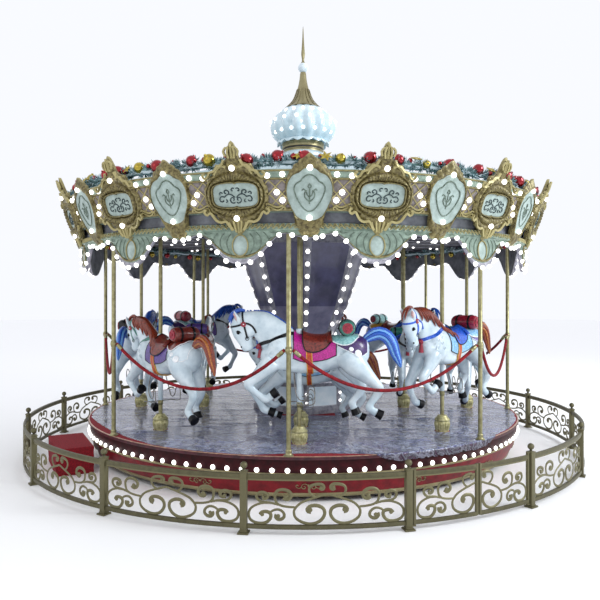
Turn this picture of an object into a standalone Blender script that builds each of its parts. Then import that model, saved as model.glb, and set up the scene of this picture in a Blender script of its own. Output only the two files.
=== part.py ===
"""A fairground carousel: a turning platform with twelve horses under a carved canopy, inside a scroll fence.

Sizes are in metres. Angles are turned from the front of the carousel, which looks along -Y, anticlockwise as
seen from above. What turns hangs from the empty "rotor" on the carousel's axis, and each horse and each gate
leaf has its origin on the line it moves along or about.
"""
import math

import bmesh
import bpy
from mathutils import Matrix, Vector

TURN = 2.0 * math.pi
SEAT_GAP = 0.0003

# Platform
PLATFORM_RADIUS = 2.735
PLATFORM_TOP = 0.448
PLATFORM_THICKNESS = 0.032
RING_SIDES = 42
APRON_BREAK = 0.272
APRON_FOOT = 0.045
APRON_RADIUS = 2.722
APRON_FOOT_RADIUS = 2.61
APRON_THICKNESS = 0.02

# Poles round the rim, and the ropes between them
RIM_POLES = 8
RIM_POLE_TURN = math.radians(-2.8)
RIM_POLE_CIRCLE = 2.706
RIM_POLE_RADIUS = 0.022
ROPE_COLLAR_RADIUS = 0.034
ROPE_COLLAR_HEIGHT = 1.416
ROPE_DIAMETER = 0.034
ROPE_SAG = 0.417
ROPE_POINTS = 20

# Horses
OUTER_HORSES = 8
INNER_HORSES = 4
HORSE_TURN = math.radians(-1.0)
OUTER_CIRCLE = 2.19
INNER_CIRCLE = 1.35
INNER_SIZE = 0.88
OUTER_REST_RISE = (0.060, 0.085, -0.100, 0.030, -0.060, 0.090, 0.010, -0.025)
INNER_REST_RISE = (-0.090, 0.020, 0.070, 0.100)
HORSE_POLE_RADIUS = 0.022
HORSE_BORE_RADIUS = 0.0224
HORSE_POLE_BOTTOM = -0.25
HORSE_POLE_TOP = 2.40
BORE_SIDES = 8
SOCKET_HEIGHT = 0.165

# Centre column and canopy
CEILING_BOTTOM = 2.70
CEILING_TOP = 2.72
BOARD_BOTTOM = 2.66
BOARD_TOP = 3.02
BOARD_BOTTOM_RADIUS = 2.87
BOARD_TOP_RADIUS = 3.00
BOARD_THICKNESS = 0.035
CANOPY_BAYS = 14
CANOPY_TURN = math.radians(1.1)
CARTOUCHE_BACK = -0.026
OVAL_FRONT = 0.06
SHIELD_FRONT = 0.045
VALANCE_RADIUS = 2.80
VALANCE_THICKNESS = 0.02
HUB_RADIUS = 0.27
ROOF_THICKNESS = 0.02
ROOF_TOP_RADIUS = 0.30
ROOF_TOP = 3.80
GARLAND_CIRCLE = 2.885
GARLAND_HEIGHT = 3.1042
GARLAND_RADIUS = 0.075
DOME_FOOT = 3.98
DOME_TOP = 4.44
DOME_LOBES = 12
SPIRE_TOP = 5.577

# Fence
FENCE_BAYS = 16
FENCE_TURN = math.radians(-8.0)
FENCE_RADIUS = 3.437
BAY_LENGTH = FENCE_RADIUS * TURN / FENCE_BAYS
POST_WIDTH = 0.055
POST_TOP = 0.505
FOOT_WIDTH = 0.09
FOOT_THICKNESS = 0.012
KNOB_RADIUS = 0.03
KNOB_HEIGHT = 0.548
RAIL_DEPTH = 0.03
TOP_RAIL = (0.430, 0.480)
BOTTOM_RAIL = (0.042, 0.077)
SCROLL_WIDTH = 0.020
SCROLL_DEPTH = 0.016
GATE_BAYS = (1, 13)
HINGE_OFFSET = 0.0515
STILE_WIDTH = 0.024
LEAF_BOTTOM = 0.0403
LEAF_TOP = 0.490
LEAF_MEETING_GAP = 0.012
LUG_THICKNESS = 0.014

# Boarding step and the frame under the platform
STEP_TURN = math.radians(-62.5)
STEP_NEAR = 2.770
STEP_FAR = 3.160
STEP_WIDTH = 0.80
STEP_HEIGHT = 0.29
PEDESTAL_RADIUS = 0.35
GROUND_BEAM_LENGTH = 2.40
GROUND_BEAM_WIDTH = 0.09
GROUND_BEAM_HEIGHT = 0.08


def clear_scene():
    """Remove every object of the open file."""
    for old in list(bpy.data.objects):
        bpy.data.objects.remove(old)


def make_material(name, hex_colour, roughness, metallic=0.0):
    """A Principled material from an sRGB hex colour."""
    material = bpy.data.materials.new(name)
    material.use_nodes = True
    shader = material.node_tree.nodes["Principled BSDF"]
    channels = [int(hex_colour[i:i + 2], 16) / 255.0 for i in (1, 3, 5)]
    linear = [c / 12.92 if c <= 0.04045 else ((c + 0.055) / 1.055) ** 2.4 for c in channels]
    shader.inputs["Base Color"].default_value = (*linear, 1.0)
    shader.inputs["Roughness"].default_value = roughness
    shader.inputs["Metallic"].default_value = metallic
    material.diffuse_color = (*linear, 1.0)
    return material


def to_mesh(bm, name):
    """Turn a bmesh into a mesh with its faces pointing out."""
    bmesh.ops.recalc_face_normals(bm, faces=bm.faces[:])
    mesh = bpy.data.meshes.new(name)
    bm.to_mesh(mesh)
    bm.free()
    return mesh


def add_object(name, mesh, material, parent=None, location=(0.0, 0.0, 0.0), turn=0.0, smooth=False):
    """Put a mesh into the scene as a named piece."""
    piece = bpy.data.objects.new(name, mesh)
    if not mesh.materials:
        mesh.materials.append(material)
    if smooth:
        mesh.shade_smooth()
        mesh.set_sharp_from_angle(angle=math.radians(35.0))
    bpy.context.collection.objects.link(piece)
    piece.parent = parent
    piece.location = location
    piece.rotation_euler = (0.0, 0.0, turn)
    return piece


def on_circle(radius, angle, height=0.0):
    """The point at an angle from the front, on a circle round the carousel's axis."""
    return Vector((radius * math.sin(angle), -radius * math.cos(angle), height))


def turned(profile, sides, is_ring=False, centre=(0.0, 0.0), turn=0.0):
    """Spin (radius, height) points about an upright axis. A ring's profile is a closed loop."""
    bm = bmesh.new()
    heading = Vector((math.sin(turn), -math.cos(turn), 0.0))
    axis_foot = Vector((centre[0], centre[1], 0.0))
    corners = [bm.verts.new(axis_foot + heading * radius + Vector((0.0, 0.0, height)))
               for radius, height in profile]
    pairs = list(zip(corners, corners[1:]))
    if is_ring:
        pairs.append((corners[-1], corners[0]))
    edges = [bm.edges.new(pair) for pair in pairs]
    bmesh.ops.spin(bm, geom=corners + edges, cent=axis_foot, axis=(0.0, 0.0, 1.0),
                   angle=TURN, steps=sides, use_merge=True)
    bmesh.ops.remove_doubles(bm, verts=bm.verts[:], dist=1e-6)
    return bm


def loft(rings):
    """A closed body through rings of the same number of points, with flat ends."""
    bm = bmesh.new()
    rows = [[bm.verts.new(point) for point in ring] for ring in rings]
    count = len(rows[0])
    for low, high in zip(rows, rows[1:]):
        for i in range(count):
            j = (i + 1) % count
            bm.faces.new((low[i], low[j], high[j], high[i]))
    bm.faces.new(list(reversed(rows[0])))
    bm.faces.new(rows[-1])
    return bm


def block(low, high):
    """A box between two corners."""
    (x0, y0, z0), (x1, y1, z1) = low, high
    return loft([[(x0, y0, z), (x1, y0, z), (x1, y1, z), (x0, y1, z)] for z in (z0, z1)])


def ellipse_ring(centre, across, along, half_across, half_along, count):
    """Points of an ellipse about a centre, in the plane of two directions."""
    ring = []
    for i in range(count):
        t = TURN * (i + 0.5) / count
        ring.append(centre + across * (half_across * math.cos(t)) + along * (half_along * math.sin(t)))
    return ring


def combine(first, others, operation="UNION"):
    """Join closed bodies into one, or cut the others out of the first. Takes and gives bmeshes."""
    operands = bpy.data.collections.new("operands")
    for number, bm in enumerate(others):
        operands.objects.link(bpy.data.objects.new(f"operand_{number}", to_mesh(bm, "operand")))
    base = bpy.data.objects.new("base", to_mesh(first, "base"))
    bpy.context.collection.objects.link(base)
    bpy.context.collection.children.link(operands)
    change = base.modifiers.new("combine", "BOOLEAN")
    change.operation = operation
    change.solver = "EXACT"
    change.operand_type = "COLLECTION"
    change.collection = operands
    evaluated = base.evaluated_get(bpy.context.evaluated_depsgraph_get())
    result = bmesh.new()
    result.from_mesh(evaluated.data)
    for operand in list(operands.objects):
        bpy.data.objects.remove(operand)
    bpy.data.collections.remove(operands)
    bpy.data.objects.remove(base)
    bmesh.ops.remove_doubles(result, verts=result.verts[:], dist=2e-6)
    bmesh.ops.dissolve_degenerate(result, edges=result.edges[:], dist=2e-6)
    return result


def smooth_through(points, steps):
    """Points of a smooth curve that passes through the given ones."""
    ends = [points[0]] + list(points) + [points[-1]]
    result = []
    for a, b, c, d in zip(ends, ends[1:], ends[2:], ends[3:]):
        for step in range(steps):
            t = step / steps
            result.append(tuple(0.5 * (2 * q + (r - p) * t + (2 * p - 5 * q + 4 * r - s) * t * t
                                       + (3 * q - p - 3 * r + s) * t ** 3)
                                for p, q, r, s in zip(a, b, c, d)))
    result.append(tuple(points[-1]))
    return result


# Horse: x runs forward from the pole, y to the rider's left, and z up from the platform at mid travel.

TRUNK_STATIONS = (
    # forward, top, bottom, half width
    (-0.695, 0.93, 0.80, 0.060),
    (-0.640, 1.00, 0.70, 0.125),
    (-0.440, 1.02, 0.68, 0.165),
    (0.050, 1.045, 0.630, 0.160),
    (0.260, 1.00, 0.680, 0.140),
    (0.370, 0.89, 0.760, 0.075),
)
NECK_AND_HEAD_STATIONS = (
    # forward, height, heading in degrees above level, half depth, half width
    (0.070, 0.840, 48, 0.200, 0.105),
    (0.250, 1.015, 50, 0.180, 0.095),
    (0.375, 1.120, 30, 0.150, 0.080),
    (0.490, 1.170, 0, 0.095, 0.062),
    (0.575, 1.145, -50, 0.110, 0.070),
    (0.555, 1.040, -100, 0.112, 0.070),
    (0.508, 0.900, -110, 0.064, 0.048),
)
LEG_STATIONS = {
    # forward, side, height, radius
    "left_fore": ((0.25, 0.085, 0.75, 0.088), (0.505, 0.10, 0.545, 0.044), (0.310, 0.10, 0.400, 0.034),
                  (0.235, 0.10, 0.455, 0.046)),
    "right_fore": ((0.25, -0.085, 0.75, 0.088), (0.475, -0.10, 0.470, 0.044), (0.355, -0.10, 0.260, 0.034),
                   (0.270, -0.10, 0.235, 0.046)),
    "left_hind": ((-0.47, 0.080, 0.84, 0.125), (-0.63, 0.095, 0.68, 0.095), (-0.795, 0.10, 0.50, 0.048),
                  (-0.685, 0.10, 0.335, 0.036), (-0.805, 0.10, 0.235, 0.046)),
    "right_hind": ((-0.44, -0.080, 0.80, 0.115), (-0.55, -0.095, 0.63, 0.085), (-0.640, -0.10, 0.47, 0.046),
                   (-0.530, -0.10, 0.350, 0.036), (-0.575, -0.10, 0.235, 0.046)),
}
TAIL_STATIONS = (
    # forward, height, heading in degrees above level, half depth, half width
    (-0.640, 0.950, 150, 0.052, 0.045),
    (-0.775, 1.025, 175, 0.070, 0.052),
    (-0.915, 0.960, 235, 0.070, 0.050),
    (-1.005, 0.700, 255, 0.022, 0.022),
)


def planar_rings(stations, count, size):
    """Rings square to a path that lies in the horse's middle plane."""
    sideways = Vector((0.0, 1.0, 0.0))
    rings = []
    for forward, height, heading, half_depth, half_width in stations:
        angle = math.radians(heading)
        upright = Vector((-math.sin(angle), 0.0, math.cos(angle)))
        centre = Vector((forward, 0.0, height)) * size
        rings.append(ellipse_ring(centre, sideways, upright, half_width * size, half_depth * size, count))
    return rings


def leg_rings(stations, size):
    """Four-cornered rings along a leg, each square to the leg's middle line and as thick as a round one."""
    centres = [Vector((forward, side, height)) * size for forward, side, height, radius in stations]
    rings = []
    for i, (forward, side, height, radius) in enumerate(stations):
        heading = (centres[min(i + 1, len(centres) - 1)] - centres[max(i - 1, 0)]).normalized()
        across = Vector((0.0, 1.0, 0.0))
        along = heading.cross(across).normalized()
        rings.append(ellipse_ring(centres[i], across, along, radius * size * 1.1, radius * size * 1.25, 4))
    return rings


def horse_mesh(name, size):
    """A galloping horse fused with the pole that carries it."""
    across = Vector((0.0, 1.0, 0.0))
    up = Vector((0.0, 0.0, 1.0))
    trunk_rings = []
    for forward, top, bottom, half_width in TRUNK_STATIONS:
        centre = Vector((forward, 0.0, (top + bottom) / 2.0)) * size
        trunk_rings.append(ellipse_ring(centre, across, up, half_width * size, (top - bottom) / 2.0 * size, 8))
    pieces = [loft(planar_rings(NECK_AND_HEAD_STATIONS, 6, size)), loft(planar_rings(TAIL_STATIONS, 5, size))]
    pieces += [loft(leg_rings(stations, size)) for stations in LEG_STATIONS.values()]
    pole_profile = ((0.0, HORSE_POLE_BOTTOM), (HORSE_POLE_RADIUS, HORSE_POLE_BOTTOM),
                    (HORSE_POLE_RADIUS, HORSE_POLE_TOP), (0.0, HORSE_POLE_TOP))
    pieces.append(turned(pole_profile, BORE_SIDES))
    return to_mesh(combine(loft(trunk_rings), pieces), name)


def horse_places():
    """Every horse's name, circle, angle and rest rise, outer ones first."""
    places = []
    for number in range(OUTER_HORSES):
        angle = HORSE_TURN + TURN * number / OUTER_HORSES
        places.append((f"outer_horse_{number + 1}", OUTER_CIRCLE, angle, OUTER_REST_RISE[number]))
    for number in range(INNER_HORSES):
        angle = HORSE_TURN + TURN * number / INNER_HORSES
        places.append((f"inner_horse_{number + 1}", INNER_CIRCLE, angle, INNER_REST_RISE[number]))
    return places


def add_horses(rotor, material):
    """Stand the horses on their circles, facing clockwise."""
    outer_mesh = horse_mesh("outer_horse", 1.0)
    inner_mesh = horse_mesh("inner_horse", INNER_SIZE)
    for name, circle, angle, rise in horse_places():
        mesh = outer_mesh if name.startswith("outer") else inner_mesh
        add_object(name, mesh, material, rotor, on_circle(circle, angle, PLATFORM_TOP + rise),
                   angle + math.pi, smooth=True)


def pole_bores(bottom, top):
    """Cutters for the holes that the horses' poles slide in."""
    profile = ((0.0, bottom), (HORSE_BORE_RADIUS, bottom), (HORSE_BORE_RADIUS, top), (0.0, top))
    bores = []
    for name, circle, angle, rise in horse_places():
        foot = on_circle(circle, angle)
        bores.append(turned(profile, BORE_SIDES, centre=(foot.x, foot.y), turn=angle + math.pi))
    return bores


# Platform

def add_platform(rotor, brass, carpet):
    """The carpeted floor, with the barrel sockets of the horses' poles standing on it."""
    bottom = PLATFORM_TOP - PLATFORM_THICKNESS
    floor = turned(((0.0, bottom), (PLATFORM_RADIUS, bottom), (PLATFORM_RADIUS, PLATFORM_TOP),
                    (0.0, PLATFORM_TOP)), RING_SIDES)
    bury = PLATFORM_TOP - 0.01
    socket_profile = ((0.0, bury), (0.068, bury), (0.074, PLATFORM_TOP + 0.110),
                      (0.045, PLATFORM_TOP + SOCKET_HEIGHT), (0.0, PLATFORM_TOP + SOCKET_HEIGHT))
    sockets = []
    for name, circle, angle, rise in horse_places():
        foot = on_circle(circle, angle)
        sockets.append(turned(socket_profile, BORE_SIDES, centre=(foot.x, foot.y), turn=angle))
    platform = combine(floor, sockets)
    platform = combine(platform, pole_bores(bottom - 0.05, PLATFORM_TOP + SOCKET_HEIGHT + 0.05), "DIFFERENCE")
    add_object("platform", to_mesh(platform, "platform"), carpet, rotor)


def add_apron(rotor, material):
    """The skirt under the platform's rim: an upright band over one that draws in to the ground."""
    top = PLATFORM_TOP - PLATFORM_THICKNESS - SEAT_GAP
    outer = ((APRON_RADIUS, top), (APRON_RADIUS, APRON_BREAK), (APRON_RADIUS - 0.045, 0.16),
             (APRON_FOOT_RADIUS, APRON_FOOT))
    inner = tuple((radius - APRON_THICKNESS, height) for radius, height in reversed(outer))
    add_object("apron", to_mesh(turned(outer + inner, RING_SIDES, is_ring=True), "apron"), material, rotor)


def add_rim_poles(rotor, material):
    """Brass poles on the rim, with a foot, a rope collar and a head flange."""
    foot = PLATFORM_TOP + SEAT_GAP
    head = CEILING_BOTTOM - SEAT_GAP
    profile = ((0.0, foot), (0.027, foot), (RIM_POLE_RADIUS, foot + 0.03),
               (RIM_POLE_RADIUS, ROPE_COLLAR_HEIGHT - 0.03), (ROPE_COLLAR_RADIUS, ROPE_COLLAR_HEIGHT - 0.022),
               (ROPE_COLLAR_RADIUS, ROPE_COLLAR_HEIGHT + 0.022), (RIM_POLE_RADIUS, ROPE_COLLAR_HEIGHT + 0.03),
               (RIM_POLE_RADIUS, head - 0.03), (0.04, head), (0.0, head))
    mesh = to_mesh(turned(profile, BORE_SIDES), "rim_pole")
    for number in range(RIM_POLES):
        angle = RIM_POLE_TURN + TURN * number / RIM_POLES
        add_object(f"rim_pole_{number + 1}", mesh, material, rotor, on_circle(RIM_POLE_CIRCLE, angle), angle)


def hanging_line(span, sag, count):
    """Points (distance, drop) of a rope hung from two ends at one height, and the drop's slope at its ends."""
    low, high = 0.2 * span, 50.0 * span
    for _ in range(80):
        middle = (low + high) / 2.0
        if middle * (math.cosh(span / (2.0 * middle)) - 1.0) > sag:
            low = middle
        else:
            high = middle
    shape = (low + high) / 2.0
    points = []
    for i in range(count):
        distance = span * i / (count - 1)
        drop = shape * (math.cosh(span / (2.0 * shape)) - math.cosh((distance - span / 2.0) / shape))
        points.append((distance, drop))
    return points, math.sinh(span / (2.0 * shape))


def add_ropes(rotor, material):
    """Velvet ropes that hang between neighbouring rim poles."""
    start = on_circle(RIM_POLE_CIRCLE, 0.0, ROPE_COLLAR_HEIGHT)
    end = on_circle(RIM_POLE_CIRCLE, TURN / RIM_POLES, ROPE_COLLAR_HEIGHT)
    chord = (end - start).normalized()
    collar_flat = ROPE_COLLAR_RADIUS * math.cos(math.pi / BORE_SIDES)
    span = (end - start).length - 2.0 * collar_flat
    slope = hanging_line(span, ROPE_SAG, ROPE_POINTS)[1]
    tilt_room = ROPE_DIAMETER / 2.0 * math.sin(math.atan(slope)) + SEAT_GAP
    span -= 2.0 * tilt_room
    first = start + chord * (collar_flat + tilt_room)
    curve = bpy.data.curves.new("rope", "CURVE")
    curve.dimensions = "3D"
    curve.bevel_depth = ROPE_DIAMETER / 2.0
    curve.bevel_resolution = 2
    curve.use_fill_caps = True
    spline = curve.splines.new("POLY")
    spline.points.add(ROPE_POINTS - 1)
    for point, (distance, drop) in zip(spline.points, hanging_line(span, ROPE_SAG, ROPE_POINTS)[0]):
        place = first + chord * distance
        point.co = (place.x, place.y, place.z - drop, 1.0)
    for number in range(RIM_POLES):
        add_object(f"rope_{number + 1}", curve, material, rotor,
                   turn=RIM_POLE_TURN + TURN * number / RIM_POLES)


# Centre column and canopy

def add_column(rotor, material):
    """The eight-sided column: a drum, a narrow waist and a wide head under the ceiling."""
    foot = PLATFORM_TOP + SEAT_GAP
    head = CEILING_BOTTOM - SEAT_GAP
    profile = ((0.0, foot), (0.66, foot), (0.66, 0.50), (0.62, 0.53), (0.62, 0.80), (0.64, 0.83), (0.55, 0.87),
               (0.43, 1.05), (0.40, 1.30), (0.47, 1.52), (0.60, 1.80), (0.74, 2.20), (0.86, 2.60), (0.86, head),
               (0.0, head))
    add_object("centre_column", to_mesh(turned(profile, 8, turn=math.radians(4.0)), "centre_column"),
               material, rotor)


def board_radius(height):
    """Radius of the rounding board's outer face at a height."""
    lean = (BOARD_TOP_RADIUS - BOARD_BOTTOM_RADIUS) / (BOARD_TOP - BOARD_BOTTOM)
    return BOARD_BOTTOM_RADIUS + (height - BOARD_BOTTOM) * lean


def add_ceiling(rotor, material):
    """The flat ceiling that the rim poles and the column carry, with holes for the horses' poles."""
    radius = board_radius(CEILING_BOTTOM) - BOARD_THICKNESS - 2.0 * SEAT_GAP
    disc = turned(((0.0, CEILING_BOTTOM), (radius, CEILING_BOTTOM), (radius, CEILING_TOP), (0.0, CEILING_TOP)),
                  RING_SIDES)
    ceiling = combine(disc, pole_bores(CEILING_BOTTOM - 0.05, CEILING_TOP + 0.05), "DIFFERENCE")
    add_object("ceiling", to_mesh(ceiling, "ceiling"), material, rotor)


def add_canopy_frame(rotor, material):
    """The hub under the dome, with its neck above the roof, and the sweeps that carry the boards."""
    foot = CEILING_TOP + SEAT_GAP
    hub = turned(((0.0, foot), (HUB_RADIUS, foot), (HUB_RADIUS, ROOF_TOP - 0.12), (0.32, ROOF_TOP - 0.08),
                  (0.32, ROOF_TOP - 0.04), (0.25, ROOF_TOP - 0.04), (0.25, 3.87), (0.27, 3.89), (0.27, 3.95),
                  (0.25, DOME_FOOT - SEAT_GAP), (0.0, DOME_FOOT - SEAT_GAP)), 16)
    sweeps = []
    for number in range(OUTER_HORSES):
        angle = HORSE_TURN + TURN * (number + 0.5) / OUTER_HORSES
        sweep = block((-0.03, -2.75, foot), (0.03, -0.10, foot + 0.08))
        bmesh.ops.rotate(sweep, verts=sweep.verts[:], cent=(0.0, 0.0, 0.0),
                         matrix=Matrix.Rotation(angle, 3, "Z"))
        sweeps.append(sweep)
    add_object("canopy_frame", to_mesh(combine(hub, sweeps), "canopy_frame"), material, rotor)


def mirrored_outline(half):
    """Close a right-hand half outline, listed from top to bottom, with its mirror image."""
    left = [(-across, up) for across, up in reversed(half) if across > 1e-6]
    return list(half) + left


OVAL_HALF = (
    # across, up: crest, frame and acanthus foot, from the middle of the oval
    (0.06, 0.345), (0.09, 0.27), (0.19, 0.22), (0.28, 0.08), (0.28, -0.05), (0.18, -0.19), (0.13, -0.30),
    (0.00, -0.36),
)
SHIELD_HALF = (
    # across, up: leaf crest, shield and tassel, from the middle of the shield
    (0.04, 0.320), (0.14, 0.22), (0.19, 0.10), (0.195, -0.02), (0.12, -0.16), (0.10, -0.30), (0.00, -0.34),
)


def cartouche(half, middle_height, front, angle):
    """A carved plate on the leaning face of the rounding board."""
    lean = math.atan2(BOARD_TOP_RADIUS - BOARD_BOTTOM_RADIUS, BOARD_TOP - BOARD_BOTTOM)
    sideways = Vector((1.0, 0.0, 0.0))
    upward = Vector((0.0, -math.sin(lean), math.cos(lean)))
    outward = Vector((0.0, -math.cos(lean), -math.sin(lean)))
    middle = Vector((0.0, -board_radius(middle_height), middle_height))
    outline = [middle + sideways * across + upward * up for across, up in mirrored_outline(half)]
    plate = loft([[point + outward * depth for point in outline] for depth in (CARTOUCHE_BACK, front)])
    bmesh.ops.rotate(plate, verts=plate.verts[:], cent=(0.0, 0.0, 0.0), matrix=Matrix.Rotation(angle, 3, "Z"))
    return plate


def add_rounding_board(rotor, material):
    """The leaning ring of boards, with an oval cartouche and a shield in every bay."""
    inner_bottom = BOARD_BOTTOM_RADIUS - BOARD_THICKNESS
    inner_top = BOARD_TOP_RADIUS - BOARD_THICKNESS
    board = turned(((BOARD_BOTTOM_RADIUS, BOARD_BOTTOM), (BOARD_TOP_RADIUS, BOARD_TOP),
                    (inner_top, BOARD_TOP), (inner_bottom, BOARD_BOTTOM)), RING_SIDES, is_ring=True)
    plates = []
    for bay in range(CANOPY_BAYS):
        shield_angle = CANOPY_TURN + TURN * bay / CANOPY_BAYS
        oval_angle = shield_angle + TURN * 0.5 / CANOPY_BAYS
        plates.append(cartouche(SHIELD_HALF, 2.86, SHIELD_FRONT, shield_angle))
        plates.append(cartouche(OVAL_HALF, 2.875, OVAL_FRONT, oval_angle))
    add_object("rounding_board", to_mesh(combine(board, plates), "rounding_board"), material, rotor)


VALANCE_EDGE = ((0.00, 2.430), (0.19, 2.478), (0.28, 2.390), (0.36, 2.275), (0.44, 2.215), (0.50, 2.205))


def add_valance(rotor, material):
    """The hanging valance: shallow arches either side of each shield, and a pendant under each oval."""
    edge = [(-share, height) for share, height in reversed(VALANCE_EDGE[1:-1])]
    edge += list(VALANCE_EDGE)
    top = CEILING_BOTTOM - SEAT_GAP
    bm = bmesh.new()
    rows = []
    for bay in range(CANOPY_BAYS):
        for share, low in edge:
            angle = CANOPY_TURN + TURN * (bay + share) / CANOPY_BAYS
            corners = ((VALANCE_RADIUS, top), (VALANCE_RADIUS, low),
                       (VALANCE_RADIUS - VALANCE_THICKNESS, low), (VALANCE_RADIUS - VALANCE_THICKNESS, top))
            rows.append([bm.verts.new(on_circle(radius, angle, height)) for radius, height in corners])
    for here, there in zip(rows, rows[1:] + rows[:1]):
        for i in range(4):
            j = (i + 1) % 4
            bm.faces.new((here[i], here[j], there[j], there[i]))
    add_object("valance", to_mesh(bm, "valance"), material, rotor)


def add_roof(rotor, material):
    """The low cone over the canopy, resting on the hub's shoulder."""
    rim_radius = board_radius(2.985) - BOARD_THICKNESS - 3.0 * SEAT_GAP
    seat = ROOF_TOP - 0.04 + SEAT_GAP
    profile = ((rim_radius, 2.985), (rim_radius, 3.000), (ROOF_TOP_RADIUS, seat + ROOF_THICKNESS),
               (ROOF_TOP_RADIUS - 0.04, seat + ROOF_THICKNESS), (ROOF_TOP_RADIUS - 0.04, seat),
               (ROOF_TOP_RADIUS + 0.03, seat), (rim_radius - 0.06, 2.985))
    add_object("roof", to_mesh(turned(profile, RING_SIDES, is_ring=True), "roof"), material, rotor)


def add_garland(rotor, material):
    """The fir garland that lies on the roof behind the boards, thicker and thinner by turns."""
    bm = bmesh.new()
    rows = []
    for number in range(RING_SIDES):
        angle = TURN * number / RING_SIDES
        thickness = GARLAND_RADIUS * (1.0 + 0.14 * math.sin(number * 2.4))
        row = []
        for i in range(5):
            t = TURN * (i + 0.25) / 5
            height = GARLAND_HEIGHT + thickness * math.sin(t)
            row.append(bm.verts.new(on_circle(GARLAND_CIRCLE + thickness * math.cos(t), angle, height)))
        rows.append(row)
    for here, there in zip(rows, rows[1:] + rows[:1]):
        for i in range(5):
            j = (i + 1) % 5
            bm.faces.new((here[i], here[j], there[j], there[i]))
    add_object("garland", to_mesh(bm, "garland"), material, rotor)


def add_dome(rotor, shell, gilt):
    """The lobed lamp dome, and the gilt spire on it: an onion neck, a ball and a tapered rod."""
    profile = ((0.27, DOME_FOOT), (0.40, 4.07), (0.425, 4.19), (0.37, 4.33), (0.235, DOME_TOP))
    rings = []
    for radius, height in profile:
        ring = []
        for i in range(2 * DOME_LOBES):
            bulge = 1.0 + (0.045 if i % 2 == 0 else -0.045)
            ring.append(on_circle(radius * bulge, TURN * i / (2 * DOME_LOBES), height))
        rings.append(ring)
    add_object("lamp_dome", to_mesh(loft(rings), "lamp_dome"), shell, rotor)
    foot = DOME_TOP + SEAT_GAP
    spire = ((0.0, foot), (0.235, foot), (0.20, 4.48), (0.12, 4.60), (0.065, 4.75), (0.035, 4.94), (0.050, 4.955),
             (0.070, 5.01), (0.050, 5.06), (0.018, 5.08), (0.022, 5.20), (0.004, SPIRE_TOP), (0.0, SPIRE_TOP))
    add_object("spire", to_mesh(turned(spire, 12), "spire"), gilt, rotor, smooth=True)


# Fence

def fence_point(along, outward, height):
    """A point of the bent fence: along its arc from the first post, outward from its line, and up."""
    return on_circle(FENCE_RADIUS + outward, along / FENCE_RADIUS, height)


def fence_block(start, end, low, high, depth, steps=1):
    """A bar that follows the fence's arc, between two heights."""
    rings = []
    for step in range(steps + 1):
        along = start + (end - start) * step / steps
        rings.append([fence_point(along, outward, height)
                      for outward, height in ((depth / 2, low), (depth / 2, high),
                                              (-depth / 2, high), (-depth / 2, low))])
    return loft(rings)


def scroll_bar(path):
    """A three-sided wrought bar along (along, height) points on the fence's arc."""
    rings = []
    for i, (along, height) in enumerate(path):
        before = path[max(i - 1, 0)]
        after = path[min(i + 1, len(path) - 1)]
        heading = Vector((after[0] - before[0], after[1] - before[1])).normalized()
        normal = Vector((-heading.y, heading.x)) * (SCROLL_WIDTH / 2.0)
        rings.append([fence_point(along + normal.x, -SCROLL_DEPTH / 2, height + normal.y),
                      fence_point(along - normal.x, -SCROLL_DEPTH / 2, height - normal.y),
                      fence_point(along, SCROLL_DEPTH / 2, height)])
    return loft(rings)


# Each path is (distance from the bay's middle, height), for one half of a bay.
VINE = ((0.0, 0.305), (0.22, 0.220), (0.36, 0.205), (0.50, 0.232), (0.60, 0.190), (0.615, 0.115),
        (0.545, 0.068), (0.470, 0.120))
VOLUTE = ((0.22, 0.222), (0.262, 0.150), (0.215, 0.078), (0.120, 0.068), (0.058, 0.130), (0.110, 0.195))


def half_scrolls(middle, side):
    """The vine and the volute of one half of a bay, at the left (-1) or right (1) of its middle."""
    return [scroll_bar([(middle + side * distance, height) for distance, height in path])
            for path in (VINE, VOLUTE)]


def post_bodies(along, lug_side=0):
    """A square post with its foot plate and knob, and lugs for a gate hinge on one side."""
    half = POST_WIDTH / 2.0
    foot = FOOT_WIDTH / 2.0
    centre = fence_point(along, 0.0, 0.0)
    bodies = [fence_block(along - half, along + half, FOOT_THICKNESS / 2, POST_TOP, POST_WIDTH),
              fence_block(along - foot, along + foot, 0.0, FOOT_THICKNESS, FOOT_WIDTH),
              turned(((0.0, POST_TOP - 0.01), (0.014, POST_TOP - 0.01), (KNOB_RADIUS, KNOB_HEIGHT - 0.004),
                      (0.016, KNOB_HEIGHT + 0.026), (0.0, KNOB_HEIGHT + 0.026)), 6, centre=(centre.x, centre.y))]
    if lug_side:
        reach = HINGE_OFFSET + STILE_WIDTH / 2.0
        near, far = sorted((along, along + lug_side * reach))
        for low in (LEAF_BOTTOM - SEAT_GAP - LUG_THICKNESS, LEAF_TOP + SEAT_GAP):
            bodies.append(fence_block(near, far, low, low + LUG_THICKNESS - 0.001, STILE_WIDTH))
    return bodies


def fence_panel_mesh(name, start_lug=0, end_post=False):
    """One bay: its first post, two rails and the scrollwork, and its last post where a gate follows."""
    end = BAY_LENGTH if end_post else BAY_LENGTH - POST_WIDTH / 2.0 - SEAT_GAP
    middle = BAY_LENGTH / 2.0
    bodies = post_bodies(0.0, start_lug)
    base = bodies.pop(0)
    bodies += [fence_block(0.0, end, *TOP_RAIL, RAIL_DEPTH, steps=3),
               fence_block(0.0, end, *BOTTOM_RAIL, RAIL_DEPTH, steps=3)]
    bodies += half_scrolls(middle, -1) + half_scrolls(middle, 1)
    if end_post:
        bodies += post_bodies(BAY_LENGTH, 1)
    return to_mesh(combine(base, bodies), name)


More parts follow.
